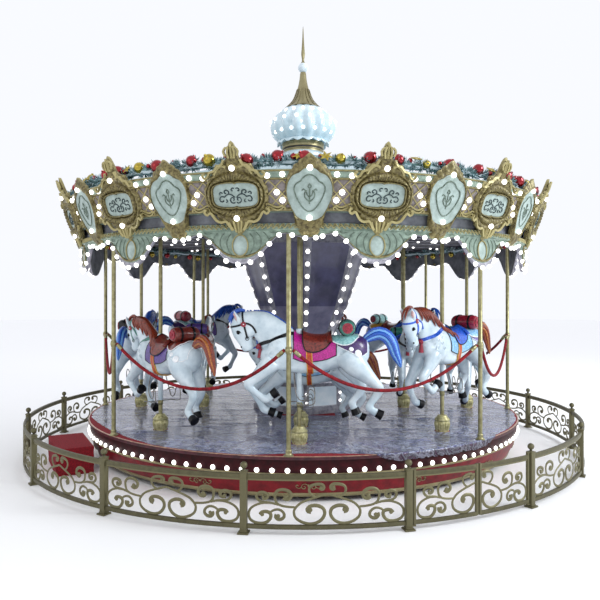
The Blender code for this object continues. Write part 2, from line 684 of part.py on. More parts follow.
def leaf_mesh(name, side):
    """Half a gate, hung at the bay's first post (side -1) or at its last one (side 1)."""
    middle = BAY_LENGTH / 2.0
    half_stile = STILE_WIDTH / 2.0
    hinge = middle + side * (middle - HINGE_OFFSET)
    meeting = middle + side * (LEAF_MEETING_GAP / 2.0 + half_stile)
    near, far = sorted((hinge, meeting))
    base = fence_block(hinge - half_stile, hinge + half_stile, LEAF_BOTTOM, LEAF_TOP, STILE_WIDTH)
    bodies = [fence_block(meeting - half_stile, meeting + half_stile, LEAF_BOTTOM + 0.005, LEAF_TOP - 0.005,
                          STILE_WIDTH),
              fence_block(near, far, *TOP_RAIL, RAIL_DEPTH - 0.008, steps=2),
              fence_block(near, far, BOTTOM_RAIL[0] + 0.006, BOTTOM_RAIL[1], RAIL_DEPTH - 0.008, steps=2)]
    vine = [(middle + side * max(distance * 0.93, LEAF_MEETING_GAP), height) for distance, height in VINE]
    volute = [(middle + side * distance, height) for distance, height in VOLUTE]
    bodies += [scroll_bar(vine), scroll_bar(volute)]
    leaf = combine(base, bodies)
    bmesh.ops.translate(leaf, verts=leaf.verts[:], vec=-fence_point(hinge, 0.0, 0.0))
    return to_mesh(leaf, name), fence_point(hinge, 0.0, 0.0)


def add_fence(material):
    """Fourteen fixed bays and two double gates."""
    plain = fence_panel_mesh("fence_panel")
    before_gate = fence_panel_mesh("fence_panel_before_gate", end_post=True)
    after_gate = fence_panel_mesh("fence_panel_after_gate", start_lug=-1)
    leaves = {"left": leaf_mesh("gate_leaf_left", -1), "right": leaf_mesh("gate_leaf_right", 1)}
    panel_number = 1
    for bay in range(FENCE_BAYS):
        angle = FENCE_TURN + TURN * bay / FENCE_BAYS
        if bay in GATE_BAYS:
            gate_number = GATE_BAYS.index(bay) + 1
            for side, (mesh, hinge) in leaves.items():
                place = Matrix.Rotation(angle, 3, "Z") @ hinge
                add_object(f"gate_{gate_number}_{side}_leaf", mesh, material, location=place, turn=angle)
            continue
        mesh = plain
        if bay + 1 in GATE_BAYS:
            mesh = before_gate
        if bay - 1 in GATE_BAYS:
            mesh = after_gate
        add_object(f"fence_panel_{panel_number:02d}", mesh, material, turn=angle)
        panel_number += 1


def add_ground_pieces(carpet, steel):
    """The boarding step by the second gate, and the pedestal and beams that carry the platform."""
    half = STEP_WIDTH / 2.0
    step = block((-half, -STEP_FAR, 0.0), (half, -STEP_NEAR, STEP_HEIGHT))
    bmesh.ops.bevel(step, geom=[edge for edge in step.edges if edge.calc_length() > 0.3
                                and min(v.co.z for v in edge.verts) > 0.1],
                    offset=0.012, segments=1, affect="EDGES")
    add_object("boarding_step", to_mesh(step, "boarding_step"), carpet, turn=STEP_TURN)
    top = PLATFORM_TOP - PLATFORM_THICKNESS - SEAT_GAP
    pedestal = turned(((0.0, 0.0), (PEDESTAL_RADIUS, 0.0), (PEDESTAL_RADIUS, top), (0.0, top)), 16)
    beams = []
    for number in range(OUTER_HORSES):
        beam = block((-GROUND_BEAM_WIDTH / 2, -GROUND_BEAM_LENGTH, 0.0),
                     (GROUND_BEAM_WIDTH / 2, -0.2, GROUND_BEAM_HEIGHT))
        bmesh.ops.rotate(beam, verts=beam.verts[:], cent=(0.0, 0.0, 0.0),
                         matrix=Matrix.Rotation(HORSE_TURN + TURN * (number + 0.5) / OUTER_HORSES, 3, "Z"))
        beams.append(beam)
    add_object("base_frame", to_mesh(combine(pedestal, beams), "base_frame"), steel)


def build_carousel():
    """Make every piece."""
    clear_scene()
    brass = make_material("brass", "#9a8a4c", 0.35, 0.9)
    gilt = make_material("gilt", "#8f7f45", 0.45, 0.6)
    carpet = make_material("red_carpet", "#7d1026", 0.9)
    apron_paint = make_material("apron_paint", "#8c1420", 0.4)
    velvet = make_material("velvet", "#a30f24", 0.85)
    horse_gelcoat = make_material("horse_gelcoat", "#e6f0f2", 0.25)
    column_paint = make_material("column_paint", "#8b8fa8", 0.5)
    ceiling_paint = make_material("ceiling_paint", "#2b2c3c", 0.7)
    board_paint = make_material("board_paint", "#b7bda4", 0.5)
    valance_paint = make_material("valance_paint", "#b9c9bd", 0.5)
    roof_paint = make_material("roof_paint", "#cfd8e2", 0.6)
    fir = make_material("fir", "#5c8088", 0.9)
    dome_shell = make_material("dome_shell", "#dfe6ee", 0.35)
    fence_paint = make_material("fence_paint", "#75714f", 0.5, 0.4)
    steel = make_material("painted_steel", "#3a3a3d", 0.5, 0.3)

    rotor = bpy.data.objects.new("rotor", None)
    bpy.context.collection.objects.link(rotor)

    add_ground_pieces(carpet, steel)
    add_fence(fence_paint)
    add_platform(rotor, brass, carpet)
    add_apron(rotor, apron_paint)
    add_rim_poles(rotor, brass)
    add_ropes(rotor, velvet)
    add_column(rotor, column_paint)
    add_ceiling(rotor, ceiling_paint)
    add_canopy_frame(rotor, gilt)
    add_rounding_board(rotor, board_paint)
    add_valance(rotor, valance_paint)
    add_roof(rotor, roof_paint)
    add_garland(rotor, fir)
    add_dome(rotor, dome_shell, gilt)
    add_horses(rotor, horse_gelcoat)


build_carousel()
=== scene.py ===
import math
import random

import bmesh
import bpy
from mathutils import Matrix, Vector, noise
from mathutils.bvhtree import BVHTree


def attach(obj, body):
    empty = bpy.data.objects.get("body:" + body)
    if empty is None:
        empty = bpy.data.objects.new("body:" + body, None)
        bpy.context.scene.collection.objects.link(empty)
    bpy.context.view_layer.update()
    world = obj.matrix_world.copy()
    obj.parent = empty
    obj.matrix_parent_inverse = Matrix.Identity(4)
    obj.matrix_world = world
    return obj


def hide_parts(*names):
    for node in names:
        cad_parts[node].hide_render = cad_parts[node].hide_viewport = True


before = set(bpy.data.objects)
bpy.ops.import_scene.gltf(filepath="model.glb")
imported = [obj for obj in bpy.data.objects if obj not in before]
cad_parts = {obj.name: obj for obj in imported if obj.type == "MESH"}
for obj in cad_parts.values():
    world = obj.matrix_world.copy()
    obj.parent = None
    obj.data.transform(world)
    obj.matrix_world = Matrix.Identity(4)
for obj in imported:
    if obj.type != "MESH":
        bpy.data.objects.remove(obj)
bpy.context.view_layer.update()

# Studio: a pale floor and soft lamps all round, seen from where the photograph was taken.
# The camera stands 8.5 m in front of the carousel's axis at eye height and looks level.
TURN = 2.0 * math.pi
CAMERA_LENS = 37.75
CAMERA_PLACE = (0.0, -8.469, 1.868)
CAMERA_TURN = (math.radians(90.09), 0.0, math.radians(0.28))
LAMPS_AIM = Vector((0.0, 0.0, 2.2))


def linear(hex_colour):
    """The linear red, green, blue and alpha of an sRGB hex colour."""
    channels = [int(hex_colour[i:i + 2], 16) / 255.0 for i in (1, 3, 5)]
    return (*(c / 12.92 if c <= 0.04045 else ((c + 0.055) / 1.055) ** 2.4 for c in channels), 1.0)


def add_node(tree, kind, inputs=None, **settings):
    """Add a node with its settings. Inputs map a socket's name or number to a value or to another socket."""
    made = tree.nodes.new(kind)
    for key, value in settings.items():
        setattr(made, key, value)
    for key, value in (inputs or {}).items():
        if isinstance(value, bpy.types.NodeSocket):
            tree.links.new(value, made.inputs[key])
        else:
            made.inputs[key].default_value = value
    return made


def new_finish(name, **values):
    """A Principled material, with the values that are even all over set on the shader itself."""
    material = bpy.data.materials.new(name)
    material.use_nodes = True
    shader = material.node_tree.nodes["Principled BSDF"]
    for socket, value in values.items():
        shader.inputs[socket.replace("_", " ")].default_value = value
    return material, material.node_tree, shader


def add_area_lamp(name, place, size, watts, colour):
    """A square soft lamp that points at the middle of the carousel."""
    lamp = bpy.data.lights.new(name, "AREA")
    lamp.size = size
    lamp.energy = watts
    lamp.color = linear(colour)[:3]
    holder = bpy.data.objects.new(name, lamp)
    holder.location = place
    holder.rotation_euler = (LAMPS_AIM - Vector(place)).to_track_quat("-Z", "Y").to_euler()
    bpy.context.scene.collection.objects.link(holder)


camera_data = bpy.data.cameras.new("camera")
camera_data.sensor_fit = "HORIZONTAL"
camera_data.sensor_width = 36.0
camera_data.lens = CAMERA_LENS
camera = bpy.data.objects.new("camera", camera_data)
camera.location = CAMERA_PLACE
camera.rotation_euler = CAMERA_TURN
bpy.context.scene.collection.objects.link(camera)
bpy.context.scene.camera = camera

add_area_lamp("key_lamp", (10.0, -5.0, 6.5), 4.0, 820.0, "#f6fbff")
add_area_lamp("fill_lamp", (-7.5, -9.5, 6.0), 6.0, 90.0, "#fff6ea")
add_area_lamp("back_lamp", (2.0, 10.5, 8.5), 6.0, 120.0, "#f2f5ff")

world = bpy.data.worlds.new("studio_air")
world.use_nodes = True
world.node_tree.nodes["Background"].inputs["Color"].default_value = linear("#f7f9ff")
world.node_tree.nodes["Background"].inputs["Strength"].default_value = 1.02
bpy.context.scene.world = world
bpy.context.scene.view_settings.view_transform = "Standard"

floor_shape = bmesh.new()
bmesh.ops.create_circle(floor_shape, cap_ends=True, radius=60.0, segments=96)
bmesh.ops.translate(floor_shape, verts=floor_shape.verts[:], vec=(0.0, 0.0, -0.002))
floor_mesh = bpy.data.meshes.new("studio_floor")
floor_shape.to_mesh(floor_mesh)
floor_shape.free()
floor_mesh.materials.append(new_finish("studio_floor_paint", Roughness=0.75, Base_Color=linear("#fbfbfb"))[0])
studio_floor = bpy.data.objects.new("studio_floor", floor_mesh)
bpy.context.scene.collection.objects.link(studio_floor)


# Rope rail: eight ropes of dark red velvet over a soft core, that hang between the rim poles.
# Each has a pressed brass cup on both ends, whose hook goes through the ring of the pole's collar.
ROPE_COUNT = 8
ROPE_TURN = math.radians(-2.8)
RIM_POLE_CIRCLE = 2.706
ROPE_COLLAR_RADIUS = 0.034
ROPE_HEIGHT = 1.416
ROPE_DIAMETER = 0.034
ROPE_SAG = 0.417
ROPE_POINTS = 20
SEAT_GAP = 0.0003


def on_circle(radius, angle, height=0.0):
    """The point at an angle from the front, on a circle round the carousel's axis."""
    return Vector((radius * math.sin(angle), -radius * math.cos(angle), height))


def hanging_line(span, sag, count):
    """Points (distance, drop) of a rope hung from two ends at one height, and its slope at the ends."""
    low, high = 0.2 * span, 50.0 * span
    for _ in range(80):
        middle = (low + high) / 2.0
        if middle * (math.cosh(span / (2.0 * middle)) - 1.0) > sag:
            low = middle
        else:
            high = middle
    shape = (low + high) / 2.0
    points = []
    for i in range(count):
        distance = span * i / (count - 1)
        drop = shape * (math.cosh(span / (2.0 * shape)) - math.cosh((distance - span / 2.0) / shape))
        points.append((distance, drop))
    return points, math.sinh(span / (2.0 * shape))


def mottled(name, light, dark, grain, relief=0.0, low=0.35, high=0.65, over=None, **values):
    """A finish in uneven patches of one size, with relief of that size, both in metres. Over lays on one more
    colour, as (what the geometry tells, from, to, most, colour)."""
    finish, tree, shader = new_finish(name, **values)
    grains = add_node(tree, "ShaderNodeTexNoise", {"Vector": add_node(tree, "ShaderNodeTexCoord").outputs["Object"],
                                                  "Scale": 1.0 / grain, "Detail": 5.0, "Roughness": 0.6})
    share = add_node(tree, "ShaderNodeMapRange", {"Value": grains.outputs["Fac"], 1: low, 2: high})
    blend = add_node(tree, "ShaderNodeMix", {0: share.outputs[0], 6: linear(dark), 7: linear(light)},
                     data_type="RGBA")
    if over:
        told, start, end, most, colour = over
        share = add_node(tree, "ShaderNodeMapRange", {"Value": add_node(tree, "ShaderNodeNewGeometry").outputs[told],
                                                      1: start, 2: end, 4: most})
        blend = add_node(tree, "ShaderNodeMix", {0: share.outputs[0], 6: blend.outputs[2], 7: linear(colour)},
                         data_type="RGBA")
    if relief:
        bump = add_node(tree, "ShaderNodeBump", {"Strength": 1.0, "Distance": relief, "Height": grains.outputs["Fac"]})
        tree.links.new(bump.outputs["Normal"], shader.inputs["Normal"])
    tree.links.new(blend.outputs[2], shader.inputs["Base Color"])
    return finish


def bridge(bm, rings, closed=False):
    """Rows of faces from each ring of points to the next, and from the last to the first where closed."""
    rows = []
    for low, high in zip(rings, rings[1:] + (rings[:1] if closed else [])):
        sides = max(len(low), len(high))
        rows.append([])
        for i in range(sides):
            j = (i + 1) % sides
            corners = (low[i % len(low)], low[j % len(low)], high[j % len(high)], high[i % len(high)])
            rows[-1].append(bm.faces.new(list(dict.fromkeys(corners))))
    return rows


def lathe(profile, sides):
    """A closed body turned from (radius, height) points about the upright axis."""
    bm = bmesh.new()
    rings = [[bm.verts.new((radius * math.cos(TURN * i / sides), radius * math.sin(TURN * i / sides), height))
              for i in range(sides if radius > 1e-6 else 1)] for radius, height in profile]
    bridge(bm, rings)
    for ring in (rings[0], rings[-1]):
        if len(ring) > 1:
            bm.faces.new(ring)
    return bm


def placed(bm, origin, axis=(0.0, 0.0, 1.0), size=1.0):
    """Scale a body, point its upright axis along a direction and carry it to a place."""
    turn = Vector(axis).to_track_quat("Z", "Y").to_matrix().to_4x4()
    bmesh.ops.transform(bm, matrix=Matrix.Translation(origin) @ turn @ Matrix.Scale(size, 4), verts=bm.verts[:])
    return bm


def joined(bodies):
    """Put several bodies into one."""
    whole = bmesh.new()
    for bm in bodies:
        part = bpy.data.meshes.new("part")
        bm.to_mesh(part)
        bm.free()
        whole.from_mesh(part)
        bpy.data.meshes.remove(part)
    return whole


def as_mesh(bm, name):
    """The mesh of a body, its doubles merged and its faces turned outward."""
    bmesh.ops.remove_doubles(bm, verts=bm.verts[:], dist=1e-5)
    bmesh.ops.recalc_face_normals(bm, faces=bm.faces[:])
    mesh = bpy.data.meshes.new(name)
    bm.to_mesh(mesh)
    bm.free()
    return mesh


def add_piece(name, shape, finishes, stands_for=(), sharp=35.0, body="turntable"):
    """Make a piece from a bmesh or a mesh, with its finishes. It rides on its body and replaces nodes."""
    mesh = as_mesh(shape, name) if isinstance(shape, bmesh.types.BMesh) else shape
    if sharp:
        mesh.shade_smooth()
        mesh.set_sharp_from_angle(angle=math.radians(sharp))
    for finish in finishes:
        mesh.materials.append(finish)
    piece = bpy.data.objects.new(name, mesh)
    bpy.context.scene.collection.objects.link(piece)
    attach(piece, body)
    if stands_for:
        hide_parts(*stands_for)
    return piece


# Velvet: short cut pile that lights up at a grazing angle, with darker patches where it has been handled.
velvet = mottled("red_velvet", "#98081b", "#54020c", 0.03, 0.0012, Roughness=0.85, Sheen_Weight=0.3,
                 Sheen_Roughness=0.35, Sheen_Tint=linear("#ff6a70"))
# Brass: cast and drawn brass with a worn lacquer, dull where hands have been.
brass = mottled("lacquered_brass", "#aca781", "#88825b", 0.05, 0.0004, Metallic=0.8, Roughness=0.34)

start = on_circle(RIM_POLE_CIRCLE, 0.0, ROPE_HEIGHT)
end = on_circle(RIM_POLE_CIRCLE, TURN / ROPE_COUNT, ROPE_HEIGHT)
chord = (end - start).normalized()
collar_flat = ROPE_COLLAR_RADIUS * math.cos(math.pi / 8)
span = (end - start).length - 2.0 * collar_flat
slope = hanging_line(span, ROPE_SAG, ROPE_POINTS)[1]
tilt_room = ROPE_DIAMETER / 2.0 * math.sin(math.atan(slope)) + SEAT_GAP
span -= 2.0 * tilt_room
first = start + chord * (collar_flat + tilt_room)
rope_line = []
for distance, drop in hanging_line(span, ROPE_SAG, ROPE_POINTS)[0]:
    point = first + chord * distance
    rope_line.append(Vector((point.x, point.y, point.z - drop)))

CUP_PROFILE = (
    (0.0, 0.004), (0.01, 0.004), (0.014, 0.01), (0.0185, 0.018), (0.0205, 0.03), (0.0205, 0.04), (0.0225, 0.043),
    (0.0225, 0.049), (0.0205, 0.052), (0.0205, 0.082), (0.0218, 0.086), (0.02, 0.09), (0.0172, 0.09)
)
for number in range(ROPE_COUNT):
    about_axis = Matrix.Rotation(ROPE_TURN + TURN * number / ROPE_COUNT, 4, "Z")
    line = [about_axis @ point for point in rope_line]
    rope_curve = bpy.data.curves.new(f"velvet_rope_{number + 1}", "CURVE")
    rope_curve.dimensions = "3D"
    rope_curve.bevel_depth = ROPE_DIAMETER / 2.0
    rope_curve.bevel_resolution = 4
    rope_curve.use_fill_caps = True
    spline = rope_curve.splines.new("POLY")
    spline.points.add(len(line) - 1)
    spline.use_smooth = True
    for point, place in zip(spline.points, line):
        point.co = (*place, 1.0)
    rope_curve.materials.append(velvet)
    rope = bpy.data.objects.new(f"velvet_rope_{number + 1}", rope_curve)
    bpy.context.scene.collection.objects.link(rope)
    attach(rope, "turntable")
    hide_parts(f"rope_{number + 1}")
    cups = []
    for here, there in ((line[0], line[1]), (line[-1], line[-2])):
        along = (there - here).normalized()
        cups.append(placed(lathe(CUP_PROFILE, 14), here, along))
    ends = add_piece(f"rope_{number + 1}_brass_cups", joined(cups), [brass])


# Base frame: a black painted pedestal with eight flat beams, seen only through the gap under the apron.
# The steel is welded, primed and brushed, so it is matt, with a little bare metal shining through.
ground_steel = mottled("black_painted_steel", "#34343a", "#1d1c1f", 0.04, 0.0006, Metallic=0.2, Roughness=0.55)


def coat_node(node, finish):
    """Give a CAD node that stays in sight its finish."""
    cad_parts[node].data.materials.clear()
    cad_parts[node].data.materials.append(finish)


coat_node("base_frame", ground_steel)


# Boarding step: a plywood box wrapped in red needle-felt carpet, pulled tight over its edges.
# It stands loose on the ground at the platform's rim, inside the second gate.
STEP_TURN = math.radians(-62.5)
STEP_NEAR = 2.770
STEP_FAR = 3.160
STEP_WIDTH = 0.80
STEP_HEIGHT = 0.29
STEP_ROUNDING = 0.012
STEP_MIDDLE = -(STEP_NEAR + STEP_FAR) / 2

# Needle felt: matt matted fibres in tufts of a centimetre, with a faint red bloom at a grazing angle.
carpet = mottled("red_needle_felt", "#940c1e", "#5a0812", 0.012, 0.002, Roughness=0.95, Sheen_Weight=0.15,
                 Sheen_Roughness=0.6, Sheen_Tint=linear("#d8505c"))

step_shape = bmesh.new()
bmesh.ops.create_cube(step_shape, size=1.0)
for vert in step_shape.verts:
    vert.co = Vector((vert.co.x * STEP_WIDTH, STEP_MIDDLE + vert.co.y * (STEP_FAR - STEP_NEAR),
                      (vert.co.z + 0.5) * STEP_HEIGHT))
bmesh.ops.bevel(step_shape, geom=step_shape.edges[:], offset=STEP_ROUNDING, segments=3, affect="EDGES", profile=0.6)
bmesh.ops.subdivide_edges(step_shape, edges=[e for e in step_shape.edges if e.calc_length() > 0.2], cuts=6,
                          use_grid_fill=True)
for vert in step_shape.verts:
    if STEP_HEIGHT * 0.98 > vert.co.z > 0.01:
        swell = 0.0025 * math.sin(vert.co.x * 31.0 + 1.3) * math.sin(vert.co.z * 37.0)
        vert.co.y += swell if vert.co.y < STEP_MIDDLE else -swell
bmesh.ops.rotate(step_shape, verts=step_shape.verts[:], cent=(0.0, 0.0, 0.0),
                 matrix=Matrix.Rotation(STEP_TURN, 3, "Z"))
add_piece("boarding_step_carpet", step_shape, [carpet], ["boarding_step"], body="ground_works")


# Ring fence: welded panels of forged bars that swell and end in buds, between a hand rail and a foot rail, on
# square posts with a ball on top and a plate on the ground. The two gates are the same in narrower frames.
FENCE_BAYS = 16
FENCE_TURN = math.radians(-8.0)
FENCE_RADIUS = 3.437
BAY_LENGTH = FENCE_RADIUS * TURN / FENCE_BAYS
POST_WIDTH = 0.055
POST_TOP = 0.505
KNOB_HEIGHT = 0.548
KNOB_RADIUS = 0.030
TOP_RAIL = (0.430, 0.480)
BOTTOM_RAIL = (0.042, 0.077)
GATE_BAYS = (1, 13)
HINGE_OFFSET = 0.0515
STILE_WIDTH = 0.024
LEAF_BOTTOM = 0.0403
LEAF_TOP = 0.490
LEAF_MEETING_GAP = 0.012

# Each bar runs from its root to its bud, as (distance from the bay's middle, drop from the hand rail) in
# millimetres. A bud is the same with its radius.
SCROLLS = (
    ((0, 105), (-34, 114), (-71, 126), (-116, 139), (-193, 167), (-232, 192), (-262, 228), (-267, 257), (-259, 287),
     (-238, 309), (-207, 327), (-166, 340), (-125, 343), (-84, 333), (-50, 312), (-28, 280), (-23, 253), (-34, 223),
     (-66, 203), (-107, 197), (-143, 206), (-162, 226), (-154, 246), (-132, 250)),
    ((-89, 133), (-120, 119), (-142, 94), (-148, 70), (-139, 46), (-114, 32), (-80, 26), (-50, 28), (-31, 42),
     (-31, 60), (-46, 68), (-60, 58)),
    ((-261, 212), (-306, 210), (-352, 204), (-390, 192), (-413, 169), (-421, 140), (-421, 110), (-406, 85),
     (-379, 73), (-345, 71), (-314, 81), (-293, 102), (-291, 126), (-308, 146), (-334, 150), (-354, 136)),
    ((-395, 193), (-442, 181), (-479, 176), (-524, 173), (-551, 162), (-569, 139), (-567, 116), (-547, 100),
     (-515, 97), (-486, 109), (-479, 130), (-497, 146), (-522, 144)),
    ((-442, 181), (-506, 180), (-556, 192), (-597, 212), (-624, 240), (-633, 275), (-624, 310), (-597, 332),
     (-560, 343), (-515, 343), (-483, 330), (-460, 303), (-454, 275), (-468, 256), (-497, 250), (-526, 256),
     (-541, 275)),
    ((-466, 262), (-438, 239), (-402, 230), (-370, 238), (-347, 262), (-346, 289), (-368, 308), (-398, 309),
     (-416, 290), (-411, 272)),
)
SCROLL_SWELL = (0.66, 0.72, 0.85, 1.0, 1.1, 1.0)
SCROLL_REACH = 0.652
SCROLL_BUDS = ((-138, 232, 19), (-49, 53, 15), (-332, 131, 20), (-516, 131, 14), (-524, 273, 17), (-394, 283, 17))


def new_tree(name, sockets):
    """A geometry node tree with named inputs, and its input and output nodes."""
    tree = bpy.data.node_groups.new(name, "GeometryNodeTree")
    tree.is_modifier = True
    tree.interface.new_socket("Geometry", in_out="OUTPUT", socket_type="NodeSocketGeometry")
    tree.interface.new_socket("Geometry", in_out="INPUT", socket_type="NodeSocketGeometry")
    for socket, kind in sockets:
        tree.interface.new_socket(socket, in_out="INPUT", socket_type="NodeSocket" + kind)
    return tree, add_node(tree, "NodeGroupInput").outputs, add_node(tree, "NodeGroupOutput")


def baked(base, tree, **values):
    """Run a node tree on an object, and give the plain mesh that it makes."""
    maker = base.modifiers.new("maker", "NODES")
    maker.node_group = tree
    for item in tree.interface.items_tree:
        key = item.name.replace(" ", "_")
        if item.in_out == "INPUT" and key in values:
            maker[item.identifier] = values[key]
    if base.name not in bpy.context.scene.collection.objects:
        bpy.context.scene.collection.objects.link(base)
    mesh = bpy.data.meshes.new_from_object(base.evaluated_get(bpy.context.evaluated_depsgraph_get()))
    bpy.data.objects.remove(base)
    mesh.materials.clear()
    return mesh


def smooth_through(points, steps):
    """Points of a smooth curve that passes through the given ones."""
    ends = [points[0], *points, points[-1]]
    result = []
    for a, b, c, d in zip(ends, ends[1:], ends[2:], ends[3:]):
        for step in range(steps):
            t = step / steps
            result.append(tuple(0.5 * (2 * q + (r - p) * t + (2 * p - 5 * q + 4 * r - s) * t * t
                                       + (3 * q - p - 3 * r + s) * t ** 3)
                                for p, q, r, s in zip(a, b, c, d)))
    result.append(tuple(points[-1]))
    return result


def part_way(values, share):
    """The value at a share of the way along a row of values."""
    at = share * (len(values) - 1)
    here, there = values[int(at)], values[min(int(at) + 1, len(values) - 1)]
    return here + (there - here) * (at % 1.0)


# A bar of oval section that follows every spline of a curve, as thick as the curve's radius says.
bar_tree, bar_in, bar_out = new_tree("bar_along_path", (("Width", "Float"), ("Depth", "Float"), ("Sides", "Int"),
                                                        ("Finish", "Material")))
oval = add_node(bar_tree, "GeometryNodeCurvePrimitiveCircle", {"Resolution": bar_in["Sides"], "Radius": 0.5})
oval_size = add_node(bar_tree, "ShaderNodeCombineXYZ", {"X": bar_in["Width"], "Y": bar_in["Depth"], "Z": 1.0})
oval = add_node(bar_tree, "GeometryNodeTransform", {"Geometry": oval.outputs["Curve"],
                                                    "Scale": oval_size.outputs[0]})
bar_swell = add_node(bar_tree, "GeometryNodeInputRadius")
bar = add_node(bar_tree, "GeometryNodeCurveToMesh", {"Curve": bar_in["Geometry"], "Scale": bar_swell.outputs[0],
                                                     "Profile Curve": oval.outputs[0], "Fill Caps": True})
bar = add_node(bar_tree, "GeometryNodeRealizeInstances", {"Geometry": bar.outputs[0]})
bar = add_node(bar_tree, "GeometryNodeSetMaterial", {"Geometry": bar.outputs[0], "Material": bar_in["Finish"]})
bar_tree.links.new(bar.outputs[0], bar_out.inputs[0])


def bars(paths, width, depth, finish, sides=5, flat=False, swell=(1.0,)):
    """Bars along paths, swelling by shares from root to tip. In a flat pattern, width is across the XY plane."""
    curve = bpy.data.curves.new("paths", "CURVE")
    curve.dimensions = "3D"
    curve.twist_mode = "Z_UP" if flat else "MINIMUM"
    for path in paths:
        spline = curve.splines.new("POLY")
        spline.points.add(len(path) - 1)
        for i, (point, place) in enumerate(zip(spline.points, path)):
            point.co = (*place, 1.0)
            point.radius = part_way(swell, i / (len(path) - 1))
    mesh = baked(bpy.data.objects.new("paths", curve), bar_tree, Width=width, Depth=depth, Sides=sides,
                 Finish=finish)
    bm = bmesh.new()
    bm.from_mesh(mesh)
    bpy.data.meshes.remove(mesh)
    return bm


def box(low, high, rounding, cuts=0):
    """A block between two corners, its edges rounded, cut across its length along X."""
    bm = bmesh.new()
    bmesh.ops.create_cube(bm, size=1.0)
    for vert in bm.verts:
        vert.co = Vector(low[i] + (vert.co[i] + 0.5) * (high[i] - low[i]) for i in range(3))
    if rounding:
        bmesh.ops.bevel(bm, geom=bm.edges[:], offset=rounding, segments=2, affect="EDGES", profile=0.5)
    for cut in range(1, cuts + 1):
        x = low[0] + (high[0] - low[0]) * cut / (cuts + 1)
        bmesh.ops.bisect_plane(bm, geom=bm.verts[:] + bm.edges[:] + bm.faces[:], plane_co=(x, 0, 0),
                               plane_no=(1, 0, 0))
    return bm


def bent(bm, radius, angle):
    """Bend a flat pattern (along, up, out) round a circle about the carousel's axis."""
    for vert in bm.verts:
        along, up, out = vert.co
        vert.co = on_circle(radius + out, angle + along / radius, up)
    return bm


# Antique bronze gold: brushed on, with a dark glaze that stays in the hollows and is rubbed off the edges.
antique_gold = mottled("antique_bronze_gold_paint", "#4a4630", "#242014", 0.035, 0.0008,
                       over=("Pointiness", 0.50, 0.60, 1.0, "#716c4e"), Metallic=0.45, Roughness=0.5)


def stood(bm, along, up=0.0, out=0.0):
    """Stand a turned body upright at a place in a flat pattern."""
    for vert in bm.verts:
        vert.co = Vector((along + vert.co.x, up + vert.co.z, out - vert.co.y))
    return bm


def post(along, hinge_side):
    """A square post with its foot plate, neck ring and ball, as a flat pattern."""
    half, neck, plate, bolt_reach = POST_WIDTH / 2, POST_WIDTH / 2 + 0.004, 0.045, 0.037
    bodies = [box((along - wide, low, -wide), (along + wide, high, wide), rounding)
              for wide, low, high, rounding in ((half, 0.006, POST_TOP - 0.006, 0.003), (plate, 0.0, 0.012, 0.002),
                                                (neck, 0.012, 0.026, 0.003), (neck, POST_TOP - 0.014, POST_TOP, 0.004))]
    ball = [(0.0, POST_TOP - 0.004), (0.017, POST_TOP - 0.002), (0.013, POST_TOP + 0.006),
            (0.012, KNOB_HEIGHT - 0.028)]
    ball += [(KNOB_RADIUS * math.cos(t), KNOB_HEIGHT + KNOB_RADIUS * math.sin(t))
             for t in (math.radians(a) for a in (-62, -40, -20, 0, 20, 40, 60, 78))]
    bodies.append(stood(lathe([*ball, (0.0, KNOB_HEIGHT + KNOB_RADIUS)], 14), along))
    for x in (-bolt_reach, bolt_reach):
        for z in (-bolt_reach, bolt_reach):
            bolt = lathe(((0.0, 0.0), (0.006, 0.0), (0.006, 0.004), (0.0, 0.006)), 6)
            bodies.append(stood(bolt, along + x, 0.0115, z))
    if hinge_side:
        reach = HINGE_OFFSET + STILE_WIDTH / 2
        near, far = sorted((along, along + hinge_side * reach))
        for low in (LEAF_BOTTOM - SEAT_GAP - 0.014, LEAF_TOP + SEAT_GAP):
            bodies.append(box((near, low, -0.011), (far, low + 0.013, 0.011), 0.002))
    return bodies


def scroll_field(middle, inner=0.0, outer=SCROLL_REACH, sides=(-1, 1)):
    """The scroll bars of a bay, or of half a bay, squeezed between two distances from its middle."""
    squeeze = (outer - inner) / SCROLL_REACH
    paths, bodies = [], []
    for side in sides:
        def spot(x, drop):
            return middle + side * (inner - x / 1000 * squeeze), TOP_RAIL[0] - drop / 1000, 0.0
        paths += [smooth_through([spot(x, drop) for x, drop in path], 2) for path in SCROLLS]
        for x, drop, radius in SCROLL_BUDS:
            radius /= 1000
            bud = lathe(((0.0, -0.010), (radius * 0.7, -0.008), (radius, 0.0), (radius * 0.7, 0.008),
                         (0.0, 0.010)), 9)
            bodies.append(placed(bud, spot(x, drop)))
    return [bars(paths, 0.029, 0.014, antique_gold, flat=True, swell=SCROLL_SWELL), *bodies]


def rails(start, end, depth):
    """The hand rail with its rolled top edge, and the foot rail."""
    return [box((start, TOP_RAIL[0] + 0.012, -depth / 2), (end, TOP_RAIL[1], depth / 2), 0.006, 9),
            box((start, TOP_RAIL[0], -depth / 2 + 0.006), (end, TOP_RAIL[0] + 0.013, depth / 2 - 0.006), 0.0, 9),
            box((start, BOTTOM_RAIL[0], -depth / 2), (end, BOTTOM_RAIL[1], depth / 2), 0.004, 9)]


